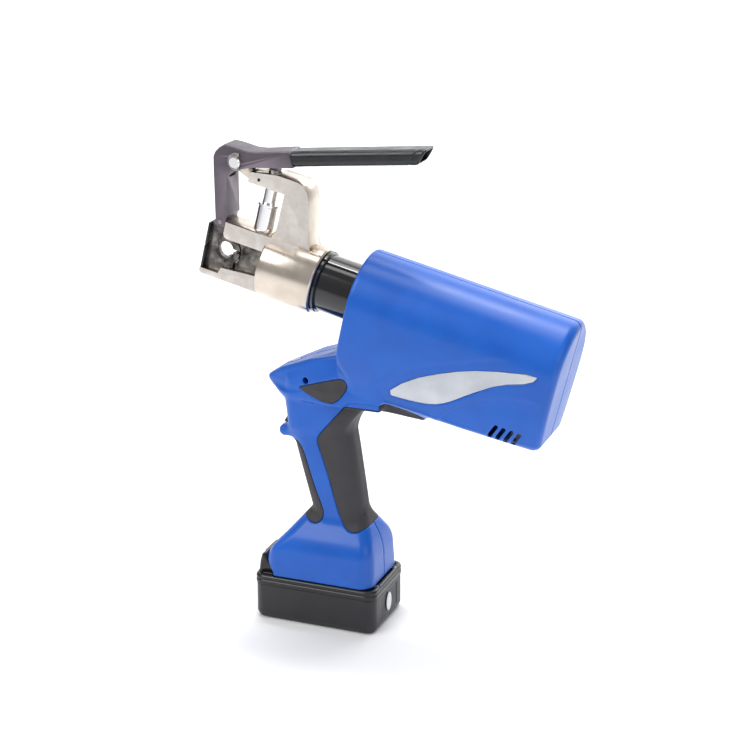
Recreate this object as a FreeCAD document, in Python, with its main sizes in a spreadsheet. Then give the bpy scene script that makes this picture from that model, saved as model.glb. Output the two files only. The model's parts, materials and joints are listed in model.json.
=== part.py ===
import FreeCAD, Part

import math
import os

import Sketcher
from FreeCAD import Placement, Rotation, Vector

# Battery-hydraulic rebar cutter.  Millimetres.  Row frame: +Z up, -X towards the cutting head,
# -Y the tool's left side, origin at the middle of the battery's underside.
# The head, hydraulics and motor lie along the tool axis, which leans nose-up by tool_tilt and
# crosses x = 0 at axis_height.  In that tool frame x runs rearwards and z is the height over the axis.

SIZES = {
    # tool axis
    "tool_tilt": 13.5, "axis_height": 320.0,
    # body shells
    "shell_wall": 3.0, "barrel_radius": 44.0, "barrel_front": 35.6, "barrel_rear": 232.0,
    "keel_front": 88.5, "keel_rear": 76.0, "keel_half": 20.0, "waist_half": 41.0, "waist_drop": 44.0,
    "rear_round": 9.0, "rubber_depth": 1.8,
    "beak_tip": 58.0, "web_half": 19.0,
    # grip and shoe
    "grip_depth": 56.0, "grip_width": 37.0, "grip_foot": 92.0, "grip_head": 215.0, "grip_lean": 11.8,
    "shoe_length": 102.0, "shoe_width": 75.0, "shoe_base": 43.3, "shoe_knee": 72.0,
    # battery
    "battery_length": 121.0, "battery_width": 79.0, "battery_rim": 43.0, "battery_wall": 2.5,
    "rim_drop": 9.0, "tower_half": 17.0, "tower_top": 58.0, "cell_radius": 9.1, "cell_length": 65.0,
    "nose_block_half": 30.0, "nose_block_top": 61.0, "latch_half": 13.0,
    # trigger
    "trigger_low": 186.0, "trigger_high": 212.0, "trigger_face": 41.0, "trigger_width": 15.0,
    "trigger_travel": 4.5, "switch_front": 24.5,
    # hydraulic cylinder and neck
    "neck_radius": 26.0, "bore_radius": 20.0, "cylinder_rear": 74.0, "neck_ring_radius": 28.5,
    "spigot_radius": 22.0, "spigot_length": 8.0, "running_fit": 0.05,
    # head
    "head_radius": 31.0, "head_rear": 4.0, "head_shoulder": 57.0, "cheek_half": 13.0, "slot_half": 7.5,
    "head_flat": 27.5, "cheek_front": 101.0, "lip_front": 117.5, "window_top": 12.0, "window_floor": 12.0,
    "lip_height": 22.0, "roof_height": 21.8, "rod_radius": 12.0, "spring_chamber": 17.0,
    "chamber_depth": 34.0, "bar_station": 98.0, "bar_hole": 7.5, "jaw_arc": 14.0, "jaw_half": 7.2,
    "jaw_gap": 1.2, "plate_thick": 2.0, "blade_tall_end": 73.5, "blade_travel": 11.0, "lug_station": 106.5, "lug_half": 5.0,
    "lug_top": 29.5, "lug_pin": 2.0,
    # lever arch and spring column
    "arch_half": 13.0, "beam_low": 69.6, "beam_high": 84.0, "beam_front": 88.0, "nose_half": 6.0,
    "leg_rear": 22.0, "leg_front": 52.0, "column_station": 69.0,
    "sleeve_radius": 9.0, "sleeve_top": 50.5, "collar_radius": 9.8, "collar_height": 3.0,
    "plunger_radius": 6.2, "plunger_top": 86.0,
    # hand lever
    "pivot_station": 102.5, "pivot_height": 84.0, "pin_radius": 5.5, "pin_half": 18.5,
    "lever_half": 12.5, "fork_half": 6.5, "arm_front": 22.0, "arm_rear": 10.0, "arm_drop": 53.0,
    "bar_end": 52.0, "bar_top": 12.9, "lever_grip_length": 118.0, "lever_grip_height": 14.8, "lever_grip_half": 13.2,
    "lever_slope": 5.1, "tongue_height": 7.5, "tongue_half": 8.5,
    # pump, gears and motor
    "pump_half": 27.0, "pump_rear": 106.0, "ecc_radius": 7.0, "ecc_offset": 1.5,
    "gearbox_radius": 25.0, "gearbox_rear": 128.0, "motor_radius": 22.5, "motor_rear": 190.0,
    "rotor_radius": 17.0, "shaft_radius": 3.0, "fan_radius": 21.0, "gear_wall": 3.0,
    "piston_crown": 22.0, "piston_skirt": 36.0,
}


class Term:
    """A length that knows its number and the sheet expression it comes from."""

    def __init__(self, value, text):
        self.value = float(value)
        self.text = text

    def join(self, other, sign, value):
        text = other.text if isinstance(other, Term) else repr(float(other))
        return Term(value, "(%s %s %s)" % (self.text, sign, text))

    def __float__(self):
        return self.value

    def __add__(self, other):
        return self.join(other, "+", self.value + float(other))

    def __sub__(self, other):
        return self.join(other, "-", self.value - float(other))

    def __mul__(self, other):
        return self.join(other, "*", self.value * float(other))

    def __truediv__(self, other):
        return self.join(other, "/", self.value / float(other))

    def __neg__(self):
        return Term(-self.value, "(-1 * %s)" % self.text)


def term(value):
    """A plain number as a Term."""
    return value if isinstance(value, Term) else Term(value, repr(float(value)))


class Sheet:
    """The spreadsheet of driving dimensions; each one reads as an attribute."""

    def __init__(self, doc, sizes):
        sheet = doc.addObject("Spreadsheet::Sheet", "sizes")
        for row, (name, value) in enumerate(sizes.items(), start=1):
            sheet.set("A%d" % row, name)
            sheet.set("B%d" % row, str(value))
            sheet.setAlias("B%d" % row, name)
        doc.recompute()
        for name in sizes:
            setattr(self, name, Term(sheet.get(name), "sizes.%s" % name))


doc = FreeCAD.newDocument("rebar_cutter")
dim = Sheet(doc, SIZES)

UPRIGHT = Placement()
TOOL = Placement(Vector(0, 0, float(dim.axis_height)), Rotation(Vector(0, 1, 0), float(dim.tool_tilt)))
PIVOT = TOOL.multVec(Vector(-float(dim.pivot_station), 0, float(dim.pivot_height)))
LEVER = Placement(PIVOT, Rotation())
parts = []


# ---------------------------------------------------------------- modelling helpers

def keep(shape_object, label):
    """Name a finished sub-part and put it on the export list."""
    shape_object.Label = label
    parts.append(shape_object)
    return shape_object


def new_body(label, place=UPRIGHT):
    """An empty PartDesign body at its place."""
    body = doc.addObject("PartDesign::Body", label)
    body.Placement = place
    return keep(body, label)


def new_sketch(body, plane, level=0.0):
    """A sketch on one of the body's own origin planes, moved along the plane's normal to level."""
    sketch = body.newObject("Sketcher::SketchObject", "outline")
    role = plane + "_Plane"
    support = [item for item in body.Origin.OriginFeatures if item.Role == role][0]
    sketch.AttachmentSupport = [(support, "")]
    sketch.MapMode = "FlatFace"
    level = term(level) * (-1.0 if plane == "XZ" else 1.0)
    sketch.setExpression("AttachmentOffset.Base.z", level.text)
    return sketch


def bind(sketch, constraint, value):
    """Add a dimension to a sketch and tie it to the sheet."""
    index = sketch.addConstraint(constraint)
    sketch.setExpression("Constraints[%d]" % index, term(value).text)


def draw(sketch, points):
    """A closed outline of straight runs whose corners are held by dimensions."""
    corners = [Vector(float(across), float(up), 0) for across, up in points]
    count = len(corners)
    for index in range(count):
        sketch.addGeometry(Part.LineSegment(corners[index], corners[(index + 1) % count]))
    for index in range(count):
        sketch.addConstraint(Sketcher.Constraint("Coincident", index, 2, (index + 1) % count, 1))
    for index, (across, up) in enumerate(points):
        bind(sketch, Sketcher.Constraint("DistanceX", index, 1, float(across)), across)
        bind(sketch, Sketcher.Constraint("DistanceY", index, 1, float(up)), up)


def draw_circle(sketch, centre, radius):
    """A circle held by its centre and radius."""
    middle = Vector(float(centre[0]), float(centre[1]), 0)
    index = sketch.addGeometry(Part.Circle(middle, Vector(0, 0, 1), float(radius)))
    bind(sketch, Sketcher.Constraint("DistanceX", index, 3, float(centre[0])), centre[0])
    bind(sketch, Sketcher.Constraint("DistanceY", index, 3, float(centre[1])), centre[1])
    bind(sketch, Sketcher.Constraint("Radius", index, float(radius)), radius)


def extrude(body, kind, plane, low, high, points=None, centre=None, radius=None):
    """Pad or Pocket an outline or a circle between two levels along the plane's normal."""
    low, high = term(low), term(high)
    sketch = new_sketch(body, plane, (low + high) / 2.0)
    if points:
        draw(sketch, points)
    else:
        draw_circle(sketch, centre, radius)
    feature = body.newObject("PartDesign::" + kind, kind.lower())
    feature.Profile = sketch
    if kind == "Pocket":
        feature.Type = "Length"
    feature.SideType = "Symmetric"
    feature.setExpression("Length", (high - low).text)
    body.Tip = feature
    return feature


def pad(body, plane, low, high, points=None, centre=None, radius=None):
    """Add material; see extrude."""
    return extrude(body, "Pad", plane, low, high, points, centre, radius)


def pocket(body, plane, low, high, points=None, centre=None, radius=None):
    """Take material away, and make sure that something was cut; see extrude."""
    doc.recompute()
    before = body.Shape.Volume
    feature = extrude(body, "Pocket", plane, low, high, points, centre, radius)
    doc.recompute()
    if body.Shape.Volume > before - 1e-3:
        raise RuntimeError("a pocket in %s cuts nothing" % body.Label)
    return feature


def turned(label, place, points, axis="H_Axis"):
    """A body turned about its X axis, or about Z with V_Axis; points are (along, radius) or (radius, up)."""
    body = new_body(label, place)
    sketch = new_sketch(body, "XZ")
    draw(sketch, points)
    feature = body.newObject("PartDesign::Revolution", "turn")
    feature.Profile = sketch
    feature.ReferenceAxis = (sketch, [axis])
    feature.Angle = 360
    body.Tip = feature
    return body


def box_points(x_low, x_high, y_low, y_high):
    """The corners of a rectangle."""
    return [(x_low, y_low), (x_high, y_low), (x_high, y_high), (x_low, y_high)]


def ring_points(start, end, inner, outer):
    """The half-section of a plain ring or tube between two stations."""
    return box_points(start, end, inner, outer)


def soften(body, radius, wanted, kind="Fillet"):
    """Fillet or chamfer the edges that wanted() picks by their middle point and direction."""
    doc.recompute()
    names = []
    for index, edge in enumerate(body.Shape.Edges, start=1):
        if edge.Length < 1e-3:
            continue
        middle = edge.valueAt((edge.FirstParameter + edge.LastParameter) / 2.0)
        along = edge.tangentAt((edge.FirstParameter + edge.LastParameter) / 2.0)
        local = body.Placement.inverse()
        if wanted(local.multVec(middle), local.Rotation.multVec(along), edge):
            names.append("Edge%d" % index)
    if not names:
        raise RuntimeError("no edge to soften on %s" % body.Label)
    base = body.Tip
    feature = body.newObject("PartDesign::" + kind, kind.lower())
    feature.Base = (base, names)
    feature.setExpression("Radius" if kind == "Fillet" else "Size", term(radius).text)
    body.Tip = feature
    return feature


def feature_part(label, shape, place=UPRIGHT):
    """A sub-part whose shape comes from Part's own functions, drawn in the place's frame."""
    part = doc.addObject("Part::Feature", label)
    part.Shape = shape
    part.Placement = place
    return keep(part, label)


def slab(points, low, high):
    """A prism over an outline in the XZ plane, between two Y levels."""
    corners = [Vector(float(across), float(low), float(up)) for across, up in points]
    face = Part.Face(Part.makePolygon(corners + corners[:1]))
    return face.extrude(Vector(0, float(high) - float(low), 0))


def rounded_rectangle(half_x, half_y, radius):
    """A closed wire around the origin in the XY plane with round corners."""
    radius = min(radius, half_x * 0.98, half_y * 0.98)
    edges = []
    quarter = math.pi / 2.0
    corners = [(1, 1, 0), (-1, 1, 1), (-1, -1, 2), (1, -1, 3)]
    ends = []
    for sign_x, sign_y, turn in corners:
        middle = Vector(sign_x * (half_x - radius), sign_y * (half_y - radius), 0)
        points = []
        for step in range(3):
            angle = quarter * (turn + step / 2.0)
            points.append(middle + Vector(radius * math.cos(angle), radius * math.sin(angle), 0))
        ends.append(points)
    for index, points in enumerate(ends):
        edges.append(Part.Arc(*points).toShape())
        edges.append(Part.LineSegment(points[2], ends[(index + 1) % 4][0]).toShape())
    return Part.Wire(edges)


def coil(label, place, mean_radius, wire_radius, length, turns):
    """A helical spring along the place's Z axis, from its origin."""
    helix = Part.makeHelix(length / turns, length, mean_radius)
    profile = Part.Wire(Part.makeCircle(wire_radius, Vector(mean_radius, 0, 0), Vector(0, 1, 0)))
    sweep = Part.Wire(helix.Edges).makePipeShell([profile], True, True)
    return feature_part(label, sweep, place)


def along_tool(station, height=0.0):
    """A place on the tool axis whose Z points rearwards."""
    return TOOL.multiply(Placement(Vector(float(station), 0, float(height)), Rotation(Vector(0, 1, 0), 90)))


def screw_shape(head_radius, head_height, shank_radius, length):
    """A socket-head screw along -Z: the head's top is at the origin."""
    head = Part.makeCylinder(head_radius, head_height, Vector(0, 0, -head_height))
    shank = Part.makeCylinder(shank_radius, length, Vector(0, 0, -head_height - length))
    socket = Part.makeCylinder(head_radius * 0.5, head_height * 0.6, Vector(0, 0, -head_height * 0.6))
    return head.fuse(shank).cut(socket)


def group(label, shapes, place=UPRIGHT):
    """Identical separate solids in one node."""
    return feature_part(label, Part.makeCompound(shapes), place)


# ---------------------------------------------------------------- outer form of the body

def section_wire(centre_x, level, half_x, half_y, radius):
    """A rounded rectangle at a height in the row frame."""
    wire = rounded_rectangle(half_x, half_y, radius)
    wire.translate(Vector(centre_x, 0, level))
    return wire


def grip_centre(level):
    """The grip leans forward as it rises from the shoe."""
    lean = math.tan(math.radians(float(dim.grip_lean)))
    return 16.4 - (level - float(dim.grip_foot)) * lean


def grip_form(inset):
    """The pistol grip from the shoe to the body, smaller all round by inset."""
    low, high = float(dim.grip_foot) - 8.0, float(dim.grip_head)
    depth, width = float(dim.grip_depth), float(dim.grip_width)
    wires = []
    for share, swell in ((0.0, 0.835), (0.28, 0.936), (0.55, 1.03), (0.78, 1.075), (1.0, 1.10)):
        level = low + (high - low) * share
        half_x = depth * swell / 2.0 - inset
        half_y = width / 2.0 - inset
        wires.append(section_wire(grip_centre(level), level, half_x, half_y, half_y * 0.85))
    return Part.makeLoft(wires, True, False)


def shoe_form(inset):
    """The battery shoe: a block that narrows up to the grip."""
    half_x, half_y = float(dim.shoe_length) / 2.0, float(dim.shoe_width) / 2.0
    base, knee, top = float(dim.shoe_base), float(dim.shoe_knee), float(dim.grip_foot) + 5.0
    wires = [
        section_wire(-1.5, base, half_x - inset, half_y - inset, 9.0),
        section_wire(1.5, knee, half_x - 2.0 - inset, half_y - 3.0 - inset, 12.0),
        section_wire(grip_centre(top) + 1.0, top - inset, half_x * 0.52 - inset, half_y * 0.54 - inset, 14.0),
    ]
    return Part.makeLoft(wires, True, True)


def barrel_form(inset):
    """The big barrel in the tool frame: a half-round top, sides that draw in, a keel rising to the rear."""
    radius = float(dim.barrel_radius) - inset
    keel, keel_half = float(dim.keel_front) + 2.0, float(dim.keel_half) - inset
    waist, drop = float(dim.waist_half) - inset, float(dim.waist_drop)
    front, rear = float(dim.barrel_front) + inset, float(dim.barrel_rear) - inset
    points = [Vector(front, -radius, 0), Vector(front, -waist, -drop), Vector(front, -keel_half, -keel),
              Vector(front, keel_half, -keel), Vector(front, waist, -drop), Vector(front, radius, 0)]
    edges = [Part.LineSegment(first, second).toShape() for first, second in zip(points, points[1:])]
    edges.append(Part.Arc(points[-1], Vector(front, 0, radius), points[0]).toShape())
    solid = Part.Face(Part.Wire(edges)).extrude(Vector(rear - front, 0, 0))
    step = front + (rear - front) * 0.5
    side = [(front - 5, radius + 5), (rear + 5, radius + 5), (rear + 5, -float(dim.keel_rear) + inset),
            (step, -float(dim.keel_front) + inset), (front + 20, -float(dim.keel_front) + inset),
            (front - 5, -float(dim.keel_front) * 0.72 + inset)]
    solid = solid.common(slab(side, -radius - 5, radius + 5))
    rim = [edge for edge in solid.Edges if edge.BoundBox.XMin > rear - 0.01]
    return solid.makeFillet(max(float(dim.rear_round) - inset, 1.0), rim)


def core_form(inset):
    """Beak, web, grip and shoe in the row frame, smaller all round by inset."""
    half = float(dim.web_half) - inset
    tip = -float(dim.beak_tip)
    web = [(-31 + inset, 183), (24, 190), (31 - inset, 200), (38.5 - inset, 212 + inset), (60, 211 + inset),
           (98, 207 + inset), (112, 221), (70, 255), (12, 260), (-12 + inset, 247 - inset),
           (-31 + inset, 234 - inset)]
    solid = grip_form(inset).fuse(slab(web, -half, half))
    beak_side = [(tip + inset, 226), (-42, 238.5 - inset), (-10, 253.5 - inset), (20, 263 - inset),
                 (60, 257), (60, 213), (-20, 214.5 + inset), (-42, 216.5 + inset), (tip + 6 + inset, 221 + inset)]
    beak_plan = [(tip + inset, -5), (-46, -13 + inset), (-18, -24 + inset), (24, -33 + inset), (60, -33 + inset),
                 (60, 33 - inset), (24, 33 - inset), (-18, 24 - inset), (-46, 13 - inset), (tip + inset, 5)]
    plan_face = Part.Face(Part.makePolygon([Vector(x, y, 200) for x, y in beak_plan + beak_plan[:1]]))
    beak = slab(beak_side, -40, 40).common(plan_face.extrude(Vector(0, 0, 90)))
    lip = section_wire(-31.0, 173.0 + inset, 12.0 - inset, 15.0 - inset, 7.0)
    lip_top = section_wire(-31.0, 184.0 - inset, 12.5 - inset, 15.5 - inset, 7.0)
    solid = solid.fuse([beak, Part.makeLoft([lip, lip_top], True, True), shoe_form(inset)])
    return solid


def placed(shape, place):
    """A copy of a shape carried to a place."""
    copy = shape.copy()
    copy.Placement = place.multiply(copy.Placement)
    return copy


def rubber_zones():
    """Side outlines of the front strip and of the rear panel of the grip."""
    front = [(-60, 174), (-34, 173.5), (-24, 172), (-19, 168), (-15, 158), (-6, 129.5), (2, 109), (1, 101),
             (-3, 97), (-12, 97), (-40, 100)]
    rear = [(101, 206), (97, 213), (83, 219.6), (59.5, 221.6), (34.4, 220.6), (16.8, 202.6), (-1.5, 181),
            (-2, 176), (3.2, 158), (10.6, 133), (18.5, 106), (25, 96), (34, 93.8), (43, 98), (60, 106)]
    return front, rear


def make_body_shells():
    """Two clamshell halves, their rubber overmoulds, inlays, name-plate blanks and indicator."""
    wall, skin = float(dim.shell_wall), float(dim.rubber_depth)
    core = core_form(0.0)
    outer = core.fuse(placed(barrel_form(0.0), TOOL))
    inner = core_form(wall).fuse(placed(barrel_form(wall), TOOL))
    deep = core.cut(core_form(skin).fuse(placed(barrel_form(0.5), TOOL)))
    front_zone, rear_zone = [slab(zone, -60, 60) for zone in rubber_zones()]
    front_strip = deep.common(front_zone)
    rear_panel = deep.common(rear_zone)
    neck = placed(Part.makeCylinder(float(dim.neck_radius) + 0.3, 60, Vector(10, 0, 0), Vector(1, 0, 0)), TOOL)
    trigger_well = Part.makeBox(40, float(dim.trigger_width) + 1.0,
                                float(dim.trigger_high) - float(dim.trigger_low) + 1.5,
                                Vector(-60, -(float(dim.trigger_width) + 1.0) / 2.0, float(dim.trigger_low) - 0.8))
    rail_half, rail_top = float(dim.tower_half) + 0.6, float(dim.tower_top) + 0.6
    rail = Part.makeBox(102, rail_half * 2, rail_top - 30, Vector(-66, -rail_half, 30))
    lens_slot = placed(Part.makeBox(9, 4, 8, Vector(-4.5, -2, -6)), lens_place())
    nose_gap = slab(nose_block_outline(0.5, 30.0), -60, 60)
    solid = outer.cut(inner).fuse(screw_bosses().common(outer))
    solid = solid.cut([neck, trigger_well, rail, lens_slot, nose_gap, front_strip, rear_panel])
    for side, name in ((-1, "left"), (1, "right")):
        low = -60 if side < 0 else 0.05
        half_space = Part.makeBox(500, 59.95, 500, Vector(-150, low, 0))
        inlay, plate = make_inlay(side), make_name_plate(side)
        half = solid.common(half_space).cut([inlay, plate])
        half = half.cut(vent_cutters(side))
        half = half.cut(screw_wells(side))
        solids = sorted(half.Solids, key=lambda item: item.Volume)
        feature_part("housing_" + name, solids[-1])
        feature_part("side_inlay_" + name, inlay)
        feature_part("side_badge_" + name, plate)
    feature_part("front_grip_strip", largest(front_strip))
    feature_part("rear_grip_panel", largest(rear_panel))
    feature_part("indicator_lens", Part.makeBox(8.6, 3.6, 4.4, Vector(-4.3, -1.8, -4)), lens_place())


def largest(shape):
    """The largest solid of a boolean's result."""
    return sorted(shape.Solids, key=lambda item: item.Volume)[-1]


def lens_place():
    """The flat on top of the beak, whose slope carries the indicator."""
    rise = math.degrees(math.atan2(253.5 - 238.5, 32.0))
    return Placement(Vector(-30.0, 0, 244.1), Rotation(Vector(0, 1, 0), -rise))


def make_inlay(side):
    """A three-cornered rubber inlay set into the flank over the trigger."""
    outline = [(-16, 226), (22, 240), (28, 239.5), (30.5, 234), (20, 220.5), (12, 218)]
    low, high = sorted((side * 21.0, side * 60.0))
    block = slab(outline, low, high)
    return largest(block.common(core_form(0.0)).cut(core_form(float(dim.rubber_depth))))


def make_name_plate(side):
    """A crescent badge, left blank, set into the flank of the barrel."""
    outline = [(71, 237), (93, 233.5), (114, 233), (128, 237.5), (149, 249), (176.5, 261), (205, 265),
               (209, 270.5), (163.5, 268.5), (128.5, 263), (93, 251)]
    low, high = sorted((side * 20.0, side * 60.0))
    skin = placed(barrel_form(0.0).cut(barrel_form(float(dim.rubber_depth) * 0.6)), TOOL)
    return largest(slab(outline, low, high).common(skin))


def vent_cutters(side):
    """Four slanted cooling slots low on the flank at the rear."""
    cutters = []
    for index in range(4):
        place = TOOL.multiply(Placement(Vector(178 + 8.2 * index, side * 33.0, -64), Rotation(Vector(0, 1, 0), 22)))
        cutters.append(placed(Part.makeBox(3.2, 34, 15, Vector(-1.6, -17, -7.5)), place))
    return cutters


def screw_spots():
    """Where the case screws go, as (across, up) in the row frame; the first one enters from the left."""
    spots = [(-11.0, 234.0), (-9.0, 148.0), (-30.0, 68.0), (44.0, 66.0)]
    for station, height in ((50.0, 36.5), (207.0, 0.0), (190.0, -70.0)):
        point = TOOL.multVec(Vector(station, 0, height))
        spots.append((point.x, point.z))
    return spots


def rod_along_y(spot, radius, start, end):
    """A cylinder along Y at a screw spot, between two Y levels."""
    low, high = sorted((start, end))
    return Part.makeCylinder(radius, high - low, Vector(spot[0], low, spot[1]), Vector(0, 1, 0))


def screw_bosses():
    """Bosses that meet on the seam plane inside the shells."""
    bosses = [rod_along_y(spot, 5.0, -60, 60) for spot in screw_spots()]
    return bosses[0].multiFuse(bosses[1:])


def screw_wells(side):
    """Wells for the heads and holes for the shanks, in the half on this side."""
    wells = []
    for index, spot in enumerate(screw_spots()):
        entry = -1 if index == 0 else 1
        if side == entry:
            wells.append(rod_along_y(spot, 3.05, side * 10.0, side * 60.0))
            wells.append(rod_along_y(spot, 1.6, 0, side * 10.0))
        else:
            wells.append(rod_along_y(spot, 1.5, 0, side * 8.0))
    return wells


def make_case_screws():
    """The screws that hold the two shells together."""
    screws = []
    for index, spot in enumerate(screw_spots()):
        entry = -1 if index == 0 else 1
        shape = screw_shape(2.95, 2.2, 1.5, 17.5)
        shape.Placement = Placement(Vector(spot[0], entry * 12.2, spot[1]), Rotation(Vector(1, 0, 0), -90 * entry))
        screws.append(shape)
    group("case_screws", screws)


def nose_block_outline(gap, reach):
    """Side outline of the battery's raised front block; gap and reach open it out as a cutter."""
    front, rim, top = -float(dim.battery_length) / 2.0, float(dim.battery_rim), float(dim.nose_block_top)
    if gap:
        return [(front - reach, rim - 6), (front - reach, top + gap), (front + 6.5 + gap, top + gap),
                (front + 19.0 + gap, rim + 3.0), (front + 19.0 + gap, rim - 6)]
    return [(front + 1.5, rim - 3), (front + 3.0, rim + 11.0), (front + 5.0, top - 1.2), (front + 6.5, top),
            (front + 19.0, rim + 3.0), (front + 19.0, rim - 3)]


# ---------------------------------------------------------------- head

def make_head():
    """The plated head: turned rear, milled cheeks with a side window, slot and rod bore."""
    shoulder, front = -dim.head_shoulder, -dim.lip_front
    body = turned("head_body", TOOL, [
        (front, 0.0), (front, dim.head_radius - 2.5), (front + 2.5, dim.head_radius - 1.0),
        (shoulder, dim.head_radius - 1.0), (shoulder + 1.5, dim.head_radius), (-dim.head_rear - 1.5, dim.head_radius),
        (-dim.head_rear, dim.head_radius - 1.5), (-dim.head_rear, dim.spigot_radius + dim.running_fit),
        (-dim.head_rear - dim.spigot_length - 0.3, dim.spigot_radius + dim.running_fit),
        (-dim.head_rear - dim.spigot_length - 0.3, dim.spring_chamber), (-dim.chamber_depth, dim.spring_chamber),
        (-dim.chamber_depth, dim.rod_radius + dim.running_fit), (shoulder - 0.5, dim.rod_radius + dim.running_fit),
        (shoulder - 0.5, 0.0)])
    wide = dim.head_radius + 5.0
    for side in (-1.0, 1.0):
        near, far = dim.cheek_half * side, wide * side
        pocket(body, "XY", -wide, wide, box_points(front - 5.0, shoulder, near, far))
        pocket(body, "XY", dim.head_flat - 6.0, wide, box_points(shoulder - 1.0, -28.0, near, far))
    pocket(body, "XZ", -dim.slot_half, dim.slot_half,
           box_points(front - 5.0, shoulder, -dim.lip_height, dim.roof_height))
    window = [(shoulder, dim.window_top), (-dim.cheek_front + 4.0, dim.window_top),
              (-dim.cheek_front + 1.2, dim.window_top + 1.2), (-dim.cheek_front, dim.window_top + 4.0),
              (-dim.cheek_front, wide), (front - 5.0, wide), (front - 5.0, -dim.lip_height),
              (-dim.cheek_front + 2.0, -dim.lip_height), (-dim.cheek_front + 4.0, -dim.window_floor - 4.0),
              (shoulder, -dim.window_floor)]
    pocket(body, "XZ", -wide, wide, window)
    pocket(body, "XY", dim.head_flat, wide, box_points(-57.5, -15.0, -16.0, 16.0))
    pocket(body, "XY", dim.roof_height + 2.5, wide, centre=(-dim.column_station, 0.0),
           radius=dim.sleeve_radius)
    pocket(body, "XZ", -wide, wide, [(front - 5.0, -dim.lip_height - 2.0), (front + 24.0, -wide), (front - 5.0, -wide)])
    make_jaws()


def make_jaws():
    """Front jaw in two halves round the bar hole, the fixed guide behind it and the moving blade."""
    station, arc = dim.bar_station, dim.jaw_arc
    thick = dim.jaw_half
    split = 0.2
    front = dim.lip_front - dim.plate_thick - 0.3
    for label, sign in (("clamp_jaw", 1.0), ("fixed_jaw", -1.0)):
        body = new_body(label, TOOL)
        tall = dim.roof_height - 0.4 if sign > 0 else dim.lip_height
        shelf = 10.4
        arc_points = [(-station + arc, split * sign)]
        for angle in (20.0, 45.0):
            turn = math.radians(angle)
            arc_points.append((-station + arc * math.cos(turn), arc * math.sin(turn) * sign))
        outline = [(-front, split * sign)] + arc_points + [(arc_points[-1][0], tall * sign), (-front, tall * sign)]
        pad(body, "XZ", -thick, thick, outline)
        clear = dim.jaw_half + 2.0
        pocket(body, "XZ", -split, clear, box_points(-front - 2.0, -station + arc + 3.0, -2.0 * sign, shelf * sign))
        pocket(body, "XZ", -clear, clear, centre=(-station, 0.0), radius=dim.bar_hole)
        if sign > 0:
            relieve_clamp(body, clear)
            pad(body, "XZ", -dim.lug_half, dim.lug_half,
                box_points(-dim.lug_station - 3.5, -dim.lug_station + 3.5, tall - 1.0, dim.lug_top))
            pocket(body, "XZ", -clear, clear, centre=(-dim.lug_station, dim.lug_top - 4.0), radius=dim.lug_pin)
    guide = new_body("blade_guide", TOOL)
    gap = dim.jaw_arc + dim.jaw_gap
    outline = [(-dim.head_shoulder - 0.2, -dim.lip_height), (-dim.head_shoulder - 0.2, dim.roof_height)]
    for angle in (38.0, 26.0, 13.0, 0.0, -13.0, -26.0, -38.0):
        turn = math.radians(angle)
        outline.append((-station + gap * math.cos(turn), gap * math.sin(turn)))
    outline.insert(2, (-station + gap * math.cos(math.radians(38.0)), dim.roof_height))
    outline.append((-station + gap * math.cos(math.radians(38.0)), -dim.lip_height))
    pad(guide, "XZ", -thick, -split, outline)
    blade = new_body("moving_blade", TOOL)
    notch = dim.bar_hole + 0.4
    tongue, back = 8.0, 16.0
    outline = [(-dim.head_shoulder, -back), (-dim.head_shoulder, back), (-dim.blade_tall_end, back),
               (-dim.blade_tall_end - 4.0, tongue), (-station, tongue), (-station, -tongue),
               (-dim.blade_tall_end - 4.0, -tongue), (-dim.blade_tall_end, -back)]
    pad(blade, "XZ", split, thick, outline)
    pocket(blade, "XZ", -1.0, thick + 1.0, centre=(-station, 0.0), radius=notch)


def relieve_clamp(body, clear):
    """Trim the clamp jaw behind the bar hole, so that it swings forward over the fixed half."""
    pocket(body, "XZ", -clear, clear,
           box_points(-dim.bar_station + 1.0, -dim.bar_station + dim.jaw_arc + 2.0, -1.0, dim.bar_hole * 0.35))


def make_face_plates():
    """The dark plates screwed to the front of each jaw half."""
    back, front = dim.lip_front - dim.plate_thick - 0.3, dim.lip_front - 0.3
    for label, low, high in (("upper_face_plate", 0.3, dim.roof_height - 0.4),
                             ("lower_face_plate", -dim.lip_height, -0.3)):
        body = new_body(label, TOOL)
        pad(body, "XZ", -dim.cheek_half + 1.0, dim.cheek_half - 1.0, box_points(-front, -back, low, high))


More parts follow.
